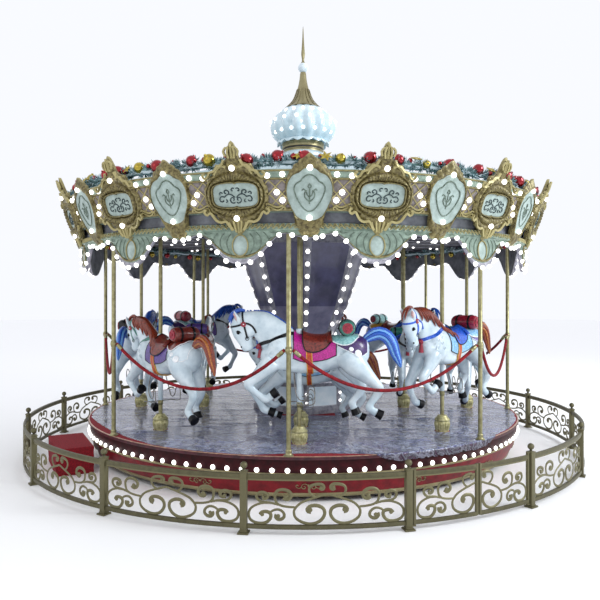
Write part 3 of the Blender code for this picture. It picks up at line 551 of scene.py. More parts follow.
panel_number = 1
for bay in range(FENCE_BAYS):
    angle = FENCE_TURN + TURN * bay / FENCE_BAYS
    middle = BAY_LENGTH / 2
    if bay not in GATE_BAYS:
        before_gate = bay + 1 in GATE_BAYS
        bodies = post(0.0, -1 if bay - 1 in GATE_BAYS else 0)
        end = BAY_LENGTH if before_gate else BAY_LENGTH - POST_WIDTH / 2 - SEAT_GAP
        bodies += rails(0.0, end, 0.030) + scroll_field(middle)
        if before_gate:
            bodies += post(BAY_LENGTH, 1)
        name = f"fence_panel_{panel_number:02d}"
        add_piece(name + "_scrolls", bent(joined(bodies), FENCE_RADIUS, angle), [antique_gold],
                  [name], body="ground_works")
        panel_number += 1
        continue
    for side, word in ((-1, "left"), (1, "right")):
        hinge = middle + side * (middle - HINGE_OFFSET)
        meeting = middle + side * (LEAF_MEETING_GAP / 2 + STILE_WIDTH / 2)
        near, far = sorted((hinge, meeting))
        half = STILE_WIDTH / 2
        bodies = [box((x - half, LEAF_BOTTOM + short, -half), (x + half, LEAF_TOP - short, half), 0.003)
                  for x, short in ((hinge, 0.0), (meeting, 0.005))]
        bodies += rails(near, far, 0.022) + scroll_field(middle, 0.030, 0.612, (side,))
        name = f"gate_{GATE_BAYS.index(bay) + 1}_{word}_leaf"
        add_piece(name + "_scrolls", bent(joined(bodies), FENCE_RADIUS, angle), [antique_gold],
                  [name], body=name)


# Rounding board: fourteen moulded glass-fibre boards that lean outward in a ring under the roof's edge.
# Each bay has an oval cartouche and a shield screwed over the joints, with lattice between them. The carving
# is painted antique gold with a brown glaze, the fields pale mint and blue grey.
CANOPY_BAYS = 14
CANOPY_TURN = math.radians(1.1)
BAY_ANGLE = TURN / CANOPY_BAYS
BOARD_BOTTOM = 2.66
BOARD_TOP = 3.02
BOARD_BOTTOM_RADIUS = 2.87
BOARD_TOP_RADIUS = 3.00
BOARD_THICKNESS = 0.035
BOARD_LEAN = math.atan2(BOARD_TOP_RADIUS - BOARD_BOTTOM_RADIUS, BOARD_TOP - BOARD_BOTTOM)

# Antique gold: bronze paint with a brown glaze wiped out of the high places.
carved_gold = mottled("glazed_gold_carving", "#807649", "#43381d", 0.024, 0.004, 0.36, 0.62,
                      over=("Pointiness", 0.52, 0.62, 1.0, "#a79d6c"), Metallic=0.3, Roughness=0.38)
# Satin enamels of the fields, with a grey bloom of dust and glaze.
field_blue = mottled("pale_blue_enamel", "#b0c2bd", "#86978f", 0.07, 0.0008, 0.3, 0.7, Roughness=0.45,
                     Coat_Weight=0.2)
field_mint = mottled("pale_mint_enamel", "#90a595", "#5f7064", 0.05, 0.0009, 0.3, 0.7, Roughness=0.5,
                     Coat_Weight=0.15)
lattice_grey = mottled("mauve_grey_enamel", "#8d8584", "#625b58", 0.04, 0.0008, Roughness=0.6)
# Line paints: matt, laid on thick with a brush, so that each stroke stands up a little.
teal_line = mottled("dark_teal_line_paint", "#33494c", "#1c2a2c", 0.02, Roughness=0.5)
sage_line = mottled("sage_moulding_paint", "#76887b", "#465447", 0.02, 0.0006, Roughness=0.45)
# Opal bulbs: frosted caps with a warm white lamp behind, lit all round the carousel.
bulb_glass = new_finish("lit_opal_bulb", Roughness=0.25, Base_Color=linear("#ffffff"),
                        Emission_Color=linear("#fffdf8"), Emission_Strength=2.4)[0]

# A bulb's (radius, height) for a size of one.
BULB_PROFILE = ((0.0, -0.3), (0.66, -0.3), (0.66, -0.05), (1.0, 0.3), (0.78, 0.8), (0.0, 1.04))

# Copies of a pattern set on points, each along the point's own direction and at its own size.
copy_tree, copy_in, copy_out = new_tree("copies_on_points", (("Pattern", "Object"), ("Spread", "Float"),
                                                             ("Turn", "Float"), ("Seed", "Int"),
                                                             ("Finish", "Material")))
facing = add_node(copy_tree, "GeometryNodeInputNamedAttribute", {"Name": "facing"}, data_type="FLOAT_VECTOR")
size = add_node(copy_tree, "GeometryNodeInputNamedAttribute", {"Name": "size"}, data_type="FLOAT")
aim = add_node(copy_tree, "FunctionNodeAlignRotationToVector", {"Vector": facing.outputs[0]}, axis="Z")
half_turn = add_node(copy_tree, "ShaderNodeMath", {0: copy_in["Turn"], 1: -1.0}, operation="MULTIPLY")
spin = add_node(copy_tree, "FunctionNodeRandomValue", {2: half_turn.outputs[0], 3: copy_in["Turn"],
                                                       "Seed": copy_in["Seed"]}, data_type="FLOAT")
spin = add_node(copy_tree, "FunctionNodeAxisAngleToRotation", {"Axis": (0.0, 0.0, 1.0), "Angle": spin.outputs[1]})
aim = add_node(copy_tree, "FunctionNodeRotateRotation", {0: aim.outputs[0], 1: spin.outputs[0]},
               rotation_space="LOCAL")
least = add_node(copy_tree, "ShaderNodeMath", {0: 1.0, 1: copy_in["Spread"]}, operation="SUBTRACT")
most = add_node(copy_tree, "ShaderNodeMath", {0: 1.0, 1: copy_in["Spread"]}, operation="ADD")
vary = add_node(copy_tree, "FunctionNodeRandomValue", {2: least.outputs[0], 3: most.outputs[0],
                                                       "Seed": copy_in["Seed"]}, data_type="FLOAT")
grown = add_node(copy_tree, "ShaderNodeMath", {0: size.outputs[0], 1: vary.outputs[1]}, operation="MULTIPLY")
pattern = add_node(copy_tree, "GeometryNodeObjectInfo", {"Object": copy_in["Pattern"]})
copy = add_node(copy_tree, "GeometryNodeInstanceOnPoints",
                {"Points": copy_in["Geometry"], "Instance": pattern.outputs["Geometry"],
                 "Rotation": aim.outputs[0], "Scale": grown.outputs[0]})
copy = add_node(copy_tree, "GeometryNodeRealizeInstances", {"Geometry": copy.outputs[0]})
copy = add_node(copy_tree, "GeometryNodeSetMaterial", {"Geometry": copy.outputs[0], "Material": copy_in["Finish"]})
copy_tree.links.new(copy.outputs[0], copy_out.inputs[0])


def copy_piece(name, shape, points, finish, sharp=35.0, spread=0.0, turn=0.0, seed=1):
    """A piece of copies of a shape set on points, each a (place, facing, size)."""
    mesh = bpy.data.meshes.new("pattern")
    shape.to_mesh(mesh)
    shape.free()
    pattern_piece = bpy.data.objects.new("pattern", mesh)
    bpy.context.scene.collection.objects.link(pattern_piece)
    cloud = bpy.data.meshes.new("points")
    cloud.from_pydata([tuple(place) for place, _, _ in points], [], [])
    cloud.attributes.new("facing", "FLOAT_VECTOR", "POINT")
    cloud.attributes.new("size", "FLOAT", "POINT")
    for i, (_, direction, scale) in enumerate(points):
        cloud.attributes["facing"].data[i].vector = tuple(direction)
        cloud.attributes["size"].data[i].value = scale
    made = baked(bpy.data.objects.new("points", cloud), copy_tree, Pattern=pattern_piece, Spread=spread,
                 Turn=turn, Seed=seed, Finish=finish)
    bpy.data.objects.remove(pattern_piece)
    return add_piece(name, made, [finish], sharp=sharp)


def bar_piece(name, paths, width, depth, finish, sides=4, stands_for=()):
    """A piece of bars alone."""
    return add_piece(name, bars(paths, width, depth, finish, sides), [finish], stands_for)


def set_bulbs(name, places, sides=8):
    """Opal bulbs screwed in at (place, facing, size) points."""
    copy_piece(name, lathe(BULB_PROFILE, sides), places, bulb_glass)


def both_sides(paths, steps, spot):
    """Smooth routes through paths in millimetres, and the same mirrored unless they are on the middle line."""
    return [[tuple(spot(side * x / 1000, y / 1000)) for x, y in smooth_through(path, steps)]
            for path in paths for side in ((-1, 1) if any(x for x, _ in path) else (1,))]


def board_radius(height):
    """Radius of the boards' outer face at a height."""
    return BOARD_BOTTOM_RADIUS + (height - BOARD_BOTTOM) * math.tan(BOARD_LEAN)


def on_board(across, height, out, angle, flat=True):
    """A point on the leaning face: across from the angle, at a height, and proud of the face."""
    radius = board_radius(height) + out * math.cos(BOARD_LEAN)
    if flat:
        return Matrix.Rotation(angle, 3, "Z") @ Vector((across, -radius, height - out * math.sin(BOARD_LEAN)))
    return on_circle(radius, angle + across / BOARD_TOP_RADIUS, height - out * math.sin(BOARD_LEAN))


def outward(angle):
    """The direction square to the leaning face."""
    return Matrix.Rotation(angle, 3, "Z") @ Vector((0.0, -math.cos(BOARD_LEAN), -math.sin(BOARD_LEAN)))


def around(points):
    """Radius by direction for a half outline of (across, up) points listed from top to bottom."""
    polar = sorted((math.atan2(up, across), math.hypot(across, up)) for across, up in points)

    def radius(angle):
        angle = math.atan2(math.sin(angle), abs(math.cos(angle)))
        for (a, r), (b, s) in zip(polar, polar[1:]):
            if a <= angle <= b:
                return r + (s - r) * (angle - a) / (b - a)
        return polar[0][1] if angle < polar[0][0] else polar[-1][1]
    return radius


def bump_at(angle, centre, width):
    """A smooth swell round one direction, 1 at its middle. Angles and width are in degrees."""
    gap = (math.degrees(angle) - centre + 180.0) % 360.0 - 180.0
    return math.exp(-(gap / width) ** 2)


def carving(outlines, rows, relief, middle_height, angle, sectors):
    """A carved plate as a net of sectors and rows. Rows are (outline, share) steps from the middle outward, and
    the first outline closes the field, which has the second finish."""
    bm = bmesh.new()
    turns = [TURN * i / sectors for i in range(sectors)]

    def corner(reach, t, out):
        return bm.verts.new(on_board(reach * math.cos(t), middle_height + reach * math.sin(t), out, angle))

    nets = [[corner(0.0, 0.0, relief(0.0, 0, 0.0))]]
    for zone, share in rows:
        net = []
        for t in turns:
            inner = outlines[zone - 1](t) if zone else 0.0
            net.append(corner(inner + (outlines[zone](t) - inner) * share, t, relief(t, zone, share)))
        nets.append(net)
    nets.append([corner(outlines[-1](t) * 0.98, t, -0.022) for t in turns])
    for (zone, _), faces in zip(rows, bridge(bm, nets)):
        for face in faces:
            face.material_index = 0 if zone else 1
    bm.faces.new(nets[-1])
    return bm


# Oval: a blue field with two lobes, a bead, a gadrooned ring and a border of leaves with a plume.
OVAL_MIDDLE = 2.815
OVAL_SECTORS = 144
OVAL_FIELD_REACH = (0.204, 0.098)
OVAL_RING_REACH = (0.262, 0.194)
FIELD_PROUD = 0.022


def oval_field(t):
    wide, tall = OVAL_FIELD_REACH
    squarish = (wide ** -4 * math.cos(t) ** 4 + tall ** -4 * math.sin(t) ** 4) ** -0.25
    return squarish * (1.0 - 0.08 * bump_at(t, 90, 8) - 0.08 * bump_at(t, -90, 10))


def oval_bead(t):
    return oval_field(t) + 0.022


def oval_ring(t):
    wide, tall = OVAL_RING_REACH
    return (wide ** -2 * math.cos(t) ** 2 + tall ** -2 * math.sin(t) ** 2) ** -0.5


def oval_border(t):
    leaf = 0.012 * abs(math.sin(9 * t)) + 0.006 * abs(math.sin(23 * t))
    plume = 0.060 * bump_at(t, 90, 42) + 0.150 * bump_at(t, 90, 9) + 0.030 * (bump_at(t, 58, 6) + bump_at(t, 122, 6))
    foot = 0.062 * bump_at(t, -90, 40) + 0.050 * bump_at(t, -90, 11)
    return oval_ring(t) + 0.022 + leaf + plume + foot


def oval_relief(t, zone, share):
    if zone == 0:
        return FIELD_PROUD
    if zone == 1:
        return FIELD_PROUD + 0.022 * math.sin(math.pi * share) ** 0.7
    if zone == 2:
        gadroon = 0.6 + 0.4 * abs(math.sin(21 * t + 3.0 * share))
        return FIELD_PROUD + 0.036 * math.sin(math.pi * share) ** 0.6 * gadroon
    fold = 0.007 * math.sin(26 * t) + 0.005 * math.sin(61 * t + 5.0 * share)
    return max(0.004, 0.026 * (1.0 - share ** 3) + 0.010 * math.sin(math.pi * share) + fold * share)


# Shield: a blue field that tapers to its foot, in a thin frame of leaves with a tassel below.
SHIELD_MIDDLE = 2.80
SHIELD_SECTORS = 120
SHIELD_FIELD = around((
    (0.0, 0.232), (0.05, 0.222), (0.09, 0.19), (0.15, 0.165), (0.188, 0.11), (0.2, 0.05), (0.192, -0.02),
    (0.165, -0.08), (0.138, -0.13), (0.112, -0.17), (0.06, -0.198), (0.0, -0.205)
))
SHIELD_FRAME = around((
    (0.0, 0.345), (0.045, 0.31), (0.1, 0.272), (0.155, 0.222), (0.2, 0.145), (0.214, 0.08), (0.211, 0.03),
    (0.199, -0.04), (0.17, -0.1), (0.143, -0.142), (0.13, -0.2), (0.116, -0.27), (0.07, -0.325), (0.0, -0.35)
))


def shield_frame(t):
    foot = bump_at(t, -90, 30)
    crest = bump_at(t, 90, 45)
    return SHIELD_FRAME(t) + 0.010 * abs(math.sin(13 * t)) * (foot + crest) + 0.003 * math.sin(31 * t)


def shield_relief(t, zone, share):
    if zone == 0:
        return 0.034 - 0.006 * share ** 2
    fold = 0.008 * math.sin(28 * t) * (bump_at(t, 90, 40) + bump_at(t, -90, 32))
    return max(0.004, 0.028 + 0.016 * math.sin(math.pi * min(1.0, share * 1.25)) - 0.026 * share ** 3 + fold * share)


# Line work on the fields, as (across, up) paths in millimetres from the field's middle, for the right half.
OVAL_LINES = (
    ((8, -62), (20, -70), (42, -62), (50, -40), (38, -22), (20, -24), (14, -38), (24, -46)),
    ((8, -20), (30, 2), (60, 12), (88, 0), (100, -14)), ((60, 12), (64, 38), (84, 48), (100, 38), (98, 22), (86, 20)),
    ((8, 60), (22, 64), (36, 54), (34, 40), (22, 40)),
    ((100, -14), (132, -8), (150, -30), (142, -52), (120, -54), (112, -42)),
    ((118, 20), (136, 30), (148, 18), (142, 6)), ((88, -34), (78, -54), (92, -62))
)
SHIELD_LINES = (
    ((0, 188), (38, 176), (66, 150), (84, 128), (122, 104), (136, 60), (116, -8), (76, -80), (36, -124), (0, -140)),
    ((0, -70), (0, 70)), ((0, -48), (26, -30), (44, 0), (40, 34), (22, 48)),
    ((0, -10), (20, 10), (30, 40), (54, 62), (66, 48)), ((0, 70), (14, 84), (0, 108))
)


def lines(paths, middle_height, out, angle, width, finish):
    """Raised line work on a field, mirrored left and right."""
    def spot(across, up):
        return on_board(across, middle_height + up * math.cos(BOARD_LEAN), out, angle)
    return bars(both_sides(paths, 3, spot), width, width, finish, sides=4)


# C scrolls under the boards' lower edge, and curls on the ovals' shoulders and feet, as (across, height) in
# millimetres.
EDGE_SCROLLS = (
    ((238, 2712), (262, 2690), (300, 2682), (345, 2700), (378, 2712), (400, 2700), (396, 2682)),
    ((238, 2712), (220, 2700), (224, 2684)), ((400, 2728), (380, 2738), (330, 2716), (285, 2706), (240, 2722))
)
STOUT_CURLS = (
    ((262, 3004), (286, 2988), (270, 2962), (238, 2972), (214, 3010), (170, 3022), (132, 3060), (98, 3066),
     (74, 3110)),
    ((288, 2704), (300, 2676), (276, 2656), (250, 2674), (226, 2650), (196, 2608), (150, 2590), (108, 2598),
     (82, 2566), (52, 2520)),
)
SLENDER_CURLS = (
    ((60, 3050), (104, 3062), (150, 3030), (176, 2990)), ((52, 3140), (66, 3175), (44, 3206), (20, 3196)),
    ((0, 3120), (0, 3236)), ((24, 3120), (34, 3168), (20, 3216)), ((0, 2500), (0, 2596)),
    ((22, 2504), (34, 2560), (40, 2600)), ((44, 2520), (66, 2556), (80, 2590))
)
OVAL_ROWS = [(0, share) for share in (0.35, 0.7, 0.93, 1.0)] + [(1, s / 3) for s in range(1, 4)]
OVAL_ROWS += [(zone, s / 5) for zone in (2, 3) for s in range(1, 6)]
SHIELD_ROWS = [(0, share) for share in (0.3, 0.6, 0.85, 1.0)] + [(1, s / 6) for s in range(1, 7)]
BULB_SIZE = 0.028
SMALL_BULB_SIZE = 0.027

frames, bulbs, oval_bodies, shield_bodies, line_bodies, emblem_bodies = [], [], [], [], [], []
for bay in range(CANOPY_BAYS):
    shield_angle = CANOPY_TURN + BAY_ANGLE * bay
    oval_angle = shield_angle + BAY_ANGLE / 2
    oval_bodies.append(carving([oval_field, oval_bead, oval_ring, oval_border], OVAL_ROWS, oval_relief, OVAL_MIDDLE,
                               oval_angle, OVAL_SECTORS))
    shield_bodies.append(carving([SHIELD_FIELD, shield_frame], SHIELD_ROWS, shield_relief, SHIELD_MIDDLE,
                                 shield_angle, SHIELD_SECTORS))
    line_bodies.append(lines(OVAL_LINES, OVAL_MIDDLE, 0.024, oval_angle, 0.012, teal_line))
    emblem_bodies.append(lines(SHIELD_LINES, SHIELD_MIDDLE, 0.034, shield_angle, 0.013, sage_line))
    routes = both_sides(EDGE_SCROLLS, 3, lambda x, y: on_board(x, y, 0.014, shield_angle, False))
    frames.append(bars(routes, 0.018, 0.018, carved_gold, sides=4))
    for width, curls in ((0.036, STOUT_CURLS), (0.024, SLENDER_CURLS)):
        routes = both_sides(curls, 2, lambda x, y: on_board(x, y, 0.034, oval_angle))
        frames.append(bars(routes, width, 0.026, carved_gold, sides=4))
    for angle, height, out in ((shield_angle, 3.035, 0.040), (shield_angle, 2.62, 0.036), (oval_angle, 3.043, 0.046),
                               (oval_angle, 2.625, 0.050)):
        bulbs.append((on_board(0.0, height, out, angle), outward(angle), BULB_SIZE))
    for side in (-1, 1):
        for across, height in ((0.24, 2.977), (0.375, 2.968), (0.295, 2.83), (0.245, 2.763)):
            bulbs.append((on_board(side * across, height, 0.006, shield_angle, False), outward(shield_angle),
                          SMALL_BULB_SIZE))

board_profile = [(board_radius(z) + out * math.cos(BOARD_LEAN), z - out * math.sin(BOARD_LEAN))
                 for z, out in (
                     (2.668, 0.0), (2.674, 0.012), (2.69, 0.012), (2.7, 0.002), (2.93, 0.002), (2.936, 0.012),
                     (2.946, 0.012), (2.95, 0.004), (3.0, 0.004), (3.006, 0.012), (3.016, 0.012), (3.02, 0.004)
                 )]
board_profile += [(BOARD_TOP_RADIUS - BOARD_THICKNESS, BOARD_TOP), (BOARD_BOTTOM_RADIUS - BOARD_THICKNESS, 2.662)]
RING_SIDES = 168


def ring_shape(profile, sides, colours):
    """A closed ring about the carousel's axis from a closed (radius, height) loop, with a finish to each side."""
    bm = bmesh.new()
    rings = [[bm.verts.new(on_circle(radius, TURN * i / sides, height)) for i in range(sides)]
             for radius, height in profile]
    for colour, faces in zip(colours, bridge(bm, rings, closed=True)):
        for face in faces:
            face.material_index = colour
    return bm


add_piece("rounding_board_ring",
          ring_shape(board_profile, RING_SIDES, (1, 1, 1, 0, 1, 1, 1, 2, 1, 1, 2, 2, 2, 2)),
          [lattice_grey, carved_gold, field_mint], ["rounding_board"])
add_piece("oval_cartouches", joined(oval_bodies), [carved_gold, field_blue])
add_piece("shield_cartouches", joined(shield_bodies), [carved_gold, field_blue])
add_piece("oval_scroll_painting", joined(line_bodies), [teal_line])
add_piece("shield_mouldings", joined(emblem_bodies), [sage_line])
add_piece("board_scroll_mouldings", joined(frames), [carved_gold])

# Lattice: slats that cross between the board's beads, each leaning one way or the other by its width.
LATTICE_SLATS = 154
LATTICE_FOOT = 2.702
LATTICE_HEIGHT = 0.228
LATTICE_LEAN = 0.24
lattice_paths = [[tuple(on_board(lean * (share - 0.5) * LATTICE_LEAN, LATTICE_FOOT + LATTICE_HEIGHT * share, 0.004,
                                 CANOPY_TURN + TURN * number / LATTICE_SLATS, False))
                  for share in (0.0, 0.25, 0.5, 0.75, 1.0)]
                 for number in range(LATTICE_SLATS) for lean in (-1, 1)]
bar_piece("board_lattice", lattice_paths, 0.015, 0.013, carved_gold)
set_bulbs("rounding_board_bulbs", bulbs)


# Valance: fourteen moulded aprons of painted glass fibre under the board, with a cut-out lower edge.
# A cove in dark grey painted shade and a carved leaf band run along the top, a double bead along the edge,
# and each hanging point carries an oval medal between fluted leaves. Opal bulbs follow the lower edge.
VALANCE_RADIUS = 2.80
VALANCE_TOP = 2.6997
VALANCE_THICKNESS = 0.02
VALANCE_COLUMNS = 40
VALANCE_EDGE = (
    (0.0, 2.432), (0.07, 2.447), (0.15, 2.474), (0.2, 2.474), (0.26, 2.418), (0.32, 2.33), (0.38, 2.252),
    (0.44, 2.214), (0.5, 2.204)
)

edge_line = smooth_through(VALANCE_EDGE, 10)


def valance_edge(share):
    """Height of the lower edge at a share of a bay, measured from the shield."""
    share = abs((share + 0.5) % 1.0 - 0.5)
    for (a, low), (b, high) in zip(edge_line, edge_line[1:]):
        if a <= share <= b:
            return low + (high - low) * (share - a) / max(1e-6, b - a)
    return edge_line[-1][1]


# The cove's matt dark grey is painted shade under the board. The edge's enamel is glossier and yellowed to lilac grey.
cove_painted_shade = mottled("dark_grey_cove_paint", "#83878e", "#5a5c64", 0.12, 0.0006, Roughness=0.7)
lilac_edge = mottled("lilac_grey_edge_enamel", "#b3b2bd", "#7e7c86", 0.03, 0.0008, Roughness=0.45,
                     Coat_Weight=0.2)

# Rows from the top down: a height, or a share of the way from the band to the edge, then how proud it stands
# and the finish of the strip that it ends.
VALANCE_ROWS = (
    (0.0, 0.0, 0), (0.0, 0.0, 1), (0.0, 0.03, 1), (0.0, 0.034, 3), (0.0, 0.012, 3), (0.1, 0.004, 3), (0.45, 0.004, 3),
    (0.74, 0.004, 3), (0.77, 0.013, 2), (0.82, 0.013, 2), (0.85, 0.004, 3), (0.9, 0.005, 4), (0.96, 0.02, 4),
    (1.0, 0.014, 4), (1.0, -0.02, 4)
)
VALANCE_HEIGHTS = (VALANCE_TOP, 2.578, 2.566, 2.512, 2.502)
BAND_FOOT = VALANCE_HEIGHTS[-1]

valance_shape = bmesh.new()
columns = []
for i in range(CANOPY_BAYS * VALANCE_COLUMNS):
    share = i / VALANCE_COLUMNS
    angle = CANOPY_TURN + BAY_ANGLE * share
    edge = valance_edge(share)
    column = []
    for row, (down, proud, _) in enumerate(VALANCE_ROWS):
        height = VALANCE_HEIGHTS[row] if row < 5 else BAND_FOOT + (edge - BAND_FOOT) * down
        if row > 5 and edge > 2.40:
            height = edge + (BAND_FOOT - edge) * (1.0 - down) * (1.0 if row < 7 else 0.9)
        if row in (2, 3):
            proud += 0.009 * math.sin(TURN * share * 16) + 0.005 * math.sin(TURN * share * 37)
        column.append(valance_shape.verts.new(on_circle(VALANCE_RADIUS + proud, angle, height)))
    column.append(valance_shape.verts.new(on_circle(VALANCE_RADIUS - VALANCE_THICKNESS, angle, VALANCE_TOP)))
    columns.append(column)
for faces in bridge(valance_shape, columns, closed=True):
    for below, face in enumerate(faces, 1):
        face.material_index = VALANCE_ROWS[below][2] if below < len(VALANCE_ROWS) else 1
add_piece("valance_moulding", valance_shape, [cove_painted_shade, cove_painted_shade, carved_gold, field_mint, lilac_edge],
          ["valance"])


def on_valance(across, height, out, angle):
    """A point of the valance's face, across from an angle."""
    return on_circle(VALANCE_RADIUS + out, angle + across / VALANCE_RADIUS, height)


# Fluting of the pendants, ring of the medal and small leaf scrolls of the band, in millimetres.
PENDANT_LINES = (
    ((90, 2480), (120, 2440), (130, 2390), (112, 2330), (80, 2290)),
    ((150, 2490), (185, 2450), (196, 2400), (180, 2345), (140, 2300)),
    ((215, 2492), (250, 2455), (262, 2415), (236, 2370)),
    ((262, 2415), (280, 2440), (300, 2440), (302, 2420), (288, 2412)), ((280, 2490), (320, 2480), (350, 2495))
)
BAND_LEAVES = ((-34, 2520), (-14, 2532), (0, 2554), (16, 2560), (24, 2546), (12, 2536), (2, 2544))
MEDAL_MIDDLE = 2.372
MEDAL_SIDES = 24
BAND_LEAF_PAIRS = 13
EDGE_STEPS = 400
BULB_SPACING = 0.118
leaf_routes, pendant_routes, medals, medal_rings, edge_bulbs = [], [], [], [], []
for bay in range(CANOPY_BAYS):
    angle = CANOPY_TURN + BAY_ANGLE * (bay + 0.5)
    pendant_routes += both_sides(PENDANT_LINES, 3, lambda x, y: on_valance(x, y, 0.007, angle))
    oval = [(0.073 * math.cos(TURN * i / MEDAL_SIDES), 0.097 * math.sin(TURN * i / MEDAL_SIDES))
            for i in range(MEDAL_SIDES + 1)]
    medal_rings.append([tuple(on_valance(x, MEDAL_MIDDLE + y, 0.012, angle)) for x, y in oval])
    medal = bmesh.new()
    bridge(medal, [[medal.verts.new(on_valance(x * size, MEDAL_MIDDLE + y * size, out, angle)) for x, y in points]
                   for points, size, out in ((oval[:1], 0.0, 0.022), (oval[:-1], 0.97, 0.005),
                                             (oval[:1], 0.0, -0.004))])
    medals.append(medal)
    for leaf in range(BAND_LEAF_PAIRS):
        for side in (-1, 1):
            turn = angle + BAY_ANGLE * (leaf / (2 * BAND_LEAF_PAIRS) * side)
            leaf_routes.append([tuple(on_valance(side * x / 1000, y / 1000, 0.042, turn)) for x, y in BAND_LEAVES])
    walked, last = 0.0, None
    for step in range(EDGE_STEPS + 1):
        share = step / EDGE_STEPS
        place = CANOPY_TURN + BAY_ANGLE * (bay + share)
        point = on_circle(VALANCE_RADIUS, place, valance_edge(share))
        if last is not None:
            walked += (point - last).length
        last = point
        if walked >= BULB_SPACING * (0.5 if share < 0.1 and walked < 0.1 else 1.0):
            walked = 0.0
            facing = on_circle(1.0, place, -0.5).normalized()
            edge_bulbs.append((point + Vector((0, 0, 0.008)) + facing * 0.020, facing, 0.025))
bar_piece("valance_leaf_band", leaf_routes, 0.011, 0.011, carved_gold)
bar_piece("valance_pendant_leaves", pendant_routes, 0.008, 0.008, sage_line)
add_piece("valance_medals", joined(medals), [field_blue])
bar_piece("valance_medal_rings", medal_rings, 0.013, 0.013, carved_gold, sides=5)
set_bulbs("valance_bulbs", edge_bulbs)


# Roof: a shallow cone of pale blue coated fabric on light steel rafters, tight between the ridge bars.
# It sags a little between the bars and has a welt along each.
ROOF_SEAT = 3.7603
ROOF_TOP_RADIUS = 0.30
ROOF_RIM = board_radius(2.985) - BOARD_THICKNESS - 0.0009
ROOF_EAVES = 2.995
ROOF_RIDGE = ROOF_SEAT + 0.018
ROOF_CLOTH_THICKNESS = 0.012
ROOF_COLUMNS = 8
ROOF_ROWS = 10

# Coated fabric: a dull skin of plastic over a fine weave, bleached in broad patches by the sun.
roof_cloth = mottled("pale_blue_coated_fabric", "#a3bac1", "#8fa7ae", 0.2, 0.001, 0.3, 0.7, Roughness=0.55,
                     Sheen_Weight=0.1)
roof_shape = bmesh.new()
rings = []
for row in range(ROOF_ROWS + 1):
    share = row / ROOF_ROWS
    ring = []
    for i in range(CANOPY_BAYS * ROOF_COLUMNS):
        sag = 0.030 * math.sin(math.pi * (i % ROOF_COLUMNS) / ROOF_COLUMNS) * math.sin(math.pi * share)
        welt = 0.012 if i % ROOF_COLUMNS == 0 and 0 < row < ROOF_ROWS else 0.0
        ring.append(roof_shape.verts.new(on_circle(ROOF_RIM + (ROOF_TOP_RADIUS - ROOF_RIM) * share,
                                                   CANOPY_TURN + TURN * i / (CANOPY_BAYS * ROOF_COLUMNS),
                                                   ROOF_EAVES + (ROOF_RIDGE - ROOF_EAVES) * share - sag + welt)))
    rings.append(ring)
thickness = Vector((0.0, 0.0, ROOF_CLOTH_THICKNESS))
rings += [[roof_shape.verts.new(vert.co - thickness) for vert in ring] for ring in reversed(rings)]
bridge(roof_shape, rings, closed=True)
add_piece("roof_cloth", roof_shape, [roof_cloth], ["roof"], 60.0)


# Garland: tinsel fir twisted on a rope along the top of the boards, frosted blue grey, with red and gold
# baubles and gold stars wired on. Needles are cut strip, fixed all round the twisted wires.
GARLAND_RADIUS = 2.885
GARLAND_HEIGHT = 3.1042
GARLAND_TUBE = 0.060
NEEDLES = 7
rng = random.Random(41)

# Fir strip: matt cut plastic, blue green in patches, with one strand in four frosted white.
fir = mottled("frosted_fir_strip", "#8db0b6", "#34544f", 0.05,
              over=("Random Per Island", 0.72, 0.78, 1.0, "#cfe0e6"), Roughness=0.8)
# Baubles: blown glass silvered inside and tinted, so they mirror the lamps in their own colour.
red_bauble = mottled("red_glass_bauble", "#a00b1c", "#7c0613", 0.03, Metallic=0.75, Roughness=0.14, Coat_Weight=0.6)
gold_bauble = mottled("gold_glass_bauble", "#c6b453", "#978333", 0.03, Metallic=0.9, Roughness=0.16)


def on_garland(turn, around_tube, out, radius=GARLAND_RADIUS, height=GARLAND_HEIGHT):
    """A point round the garland's rope and the direction away from its middle."""
    outward_here = on_circle(1.0, turn)
    direction = outward_here * math.cos(around_tube) + Vector((0.0, 0.0, math.sin(around_tube)))
    return on_circle(radius, turn, height) + direction * out, direction


def fir_ring(name, radius, height, tube, count, stands_for=()):
    """A ring of twisted fir: its cord, and a tuft at each point all round it."""
    cord = [tuple(on_circle(radius, TURN * i / 180, height + 0.006 * math.sin(i * 1.7))) for i in range(181)]
    points = []
    for _ in range(count):
        turn = rng.random() * TURN
        where = rng.uniform(-1.2, math.pi + 0.5)
        place, direction = on_garland(turn, where, tube * rng.uniform(0.15, 0.55), radius, height)
        along = on_circle(1.0, turn + math.pi / 2) * rng.choice((-1, 1)) * rng.uniform(0.2, 1.2)
        points.append((place, (direction + along).normalized(), rng.uniform(0.75, 1.25)))
    tuft = bmesh.new()
    for needle in range(NEEDLES):
        lean = TURN * needle / NEEDLES
        tip = Vector((0.030 * math.cos(lean), 0.030 * math.sin(lean), 0.054 - 0.005 * (needle % 3)))
        side = Vector((-math.sin(lean), math.cos(lean), 0.0)) * 0.0070
        root, end = tuft.verts.new(tip * 0.02), tuft.verts.new(tip)
        waist = [tuft.verts.new(tip * 0.55 + step) for step in (side, Vector((0.0, 0.0, 0.0045)), -side)]
        for i in range(3):
            tuft.faces.new((root, waist[i], waist[i - 1]))
            tuft.faces.new((end, waist[i - 1], waist[i]))
    bmesh.ops.recalc_face_normals(tuft, faces=tuft.faces[:])
    bar_piece(name + "_cord", [cord], tube * 1.1, tube * 1.1, fir, 8, stands_for)
    copy_piece(name + "_fir", tuft, points, fir, sharp=0.0, spread=0.25, turn=math.pi, seed=7)


fir_ring("garland", GARLAND_RADIUS, GARLAND_HEIGHT, GARLAND_TUBE, 2560, ["garland"])

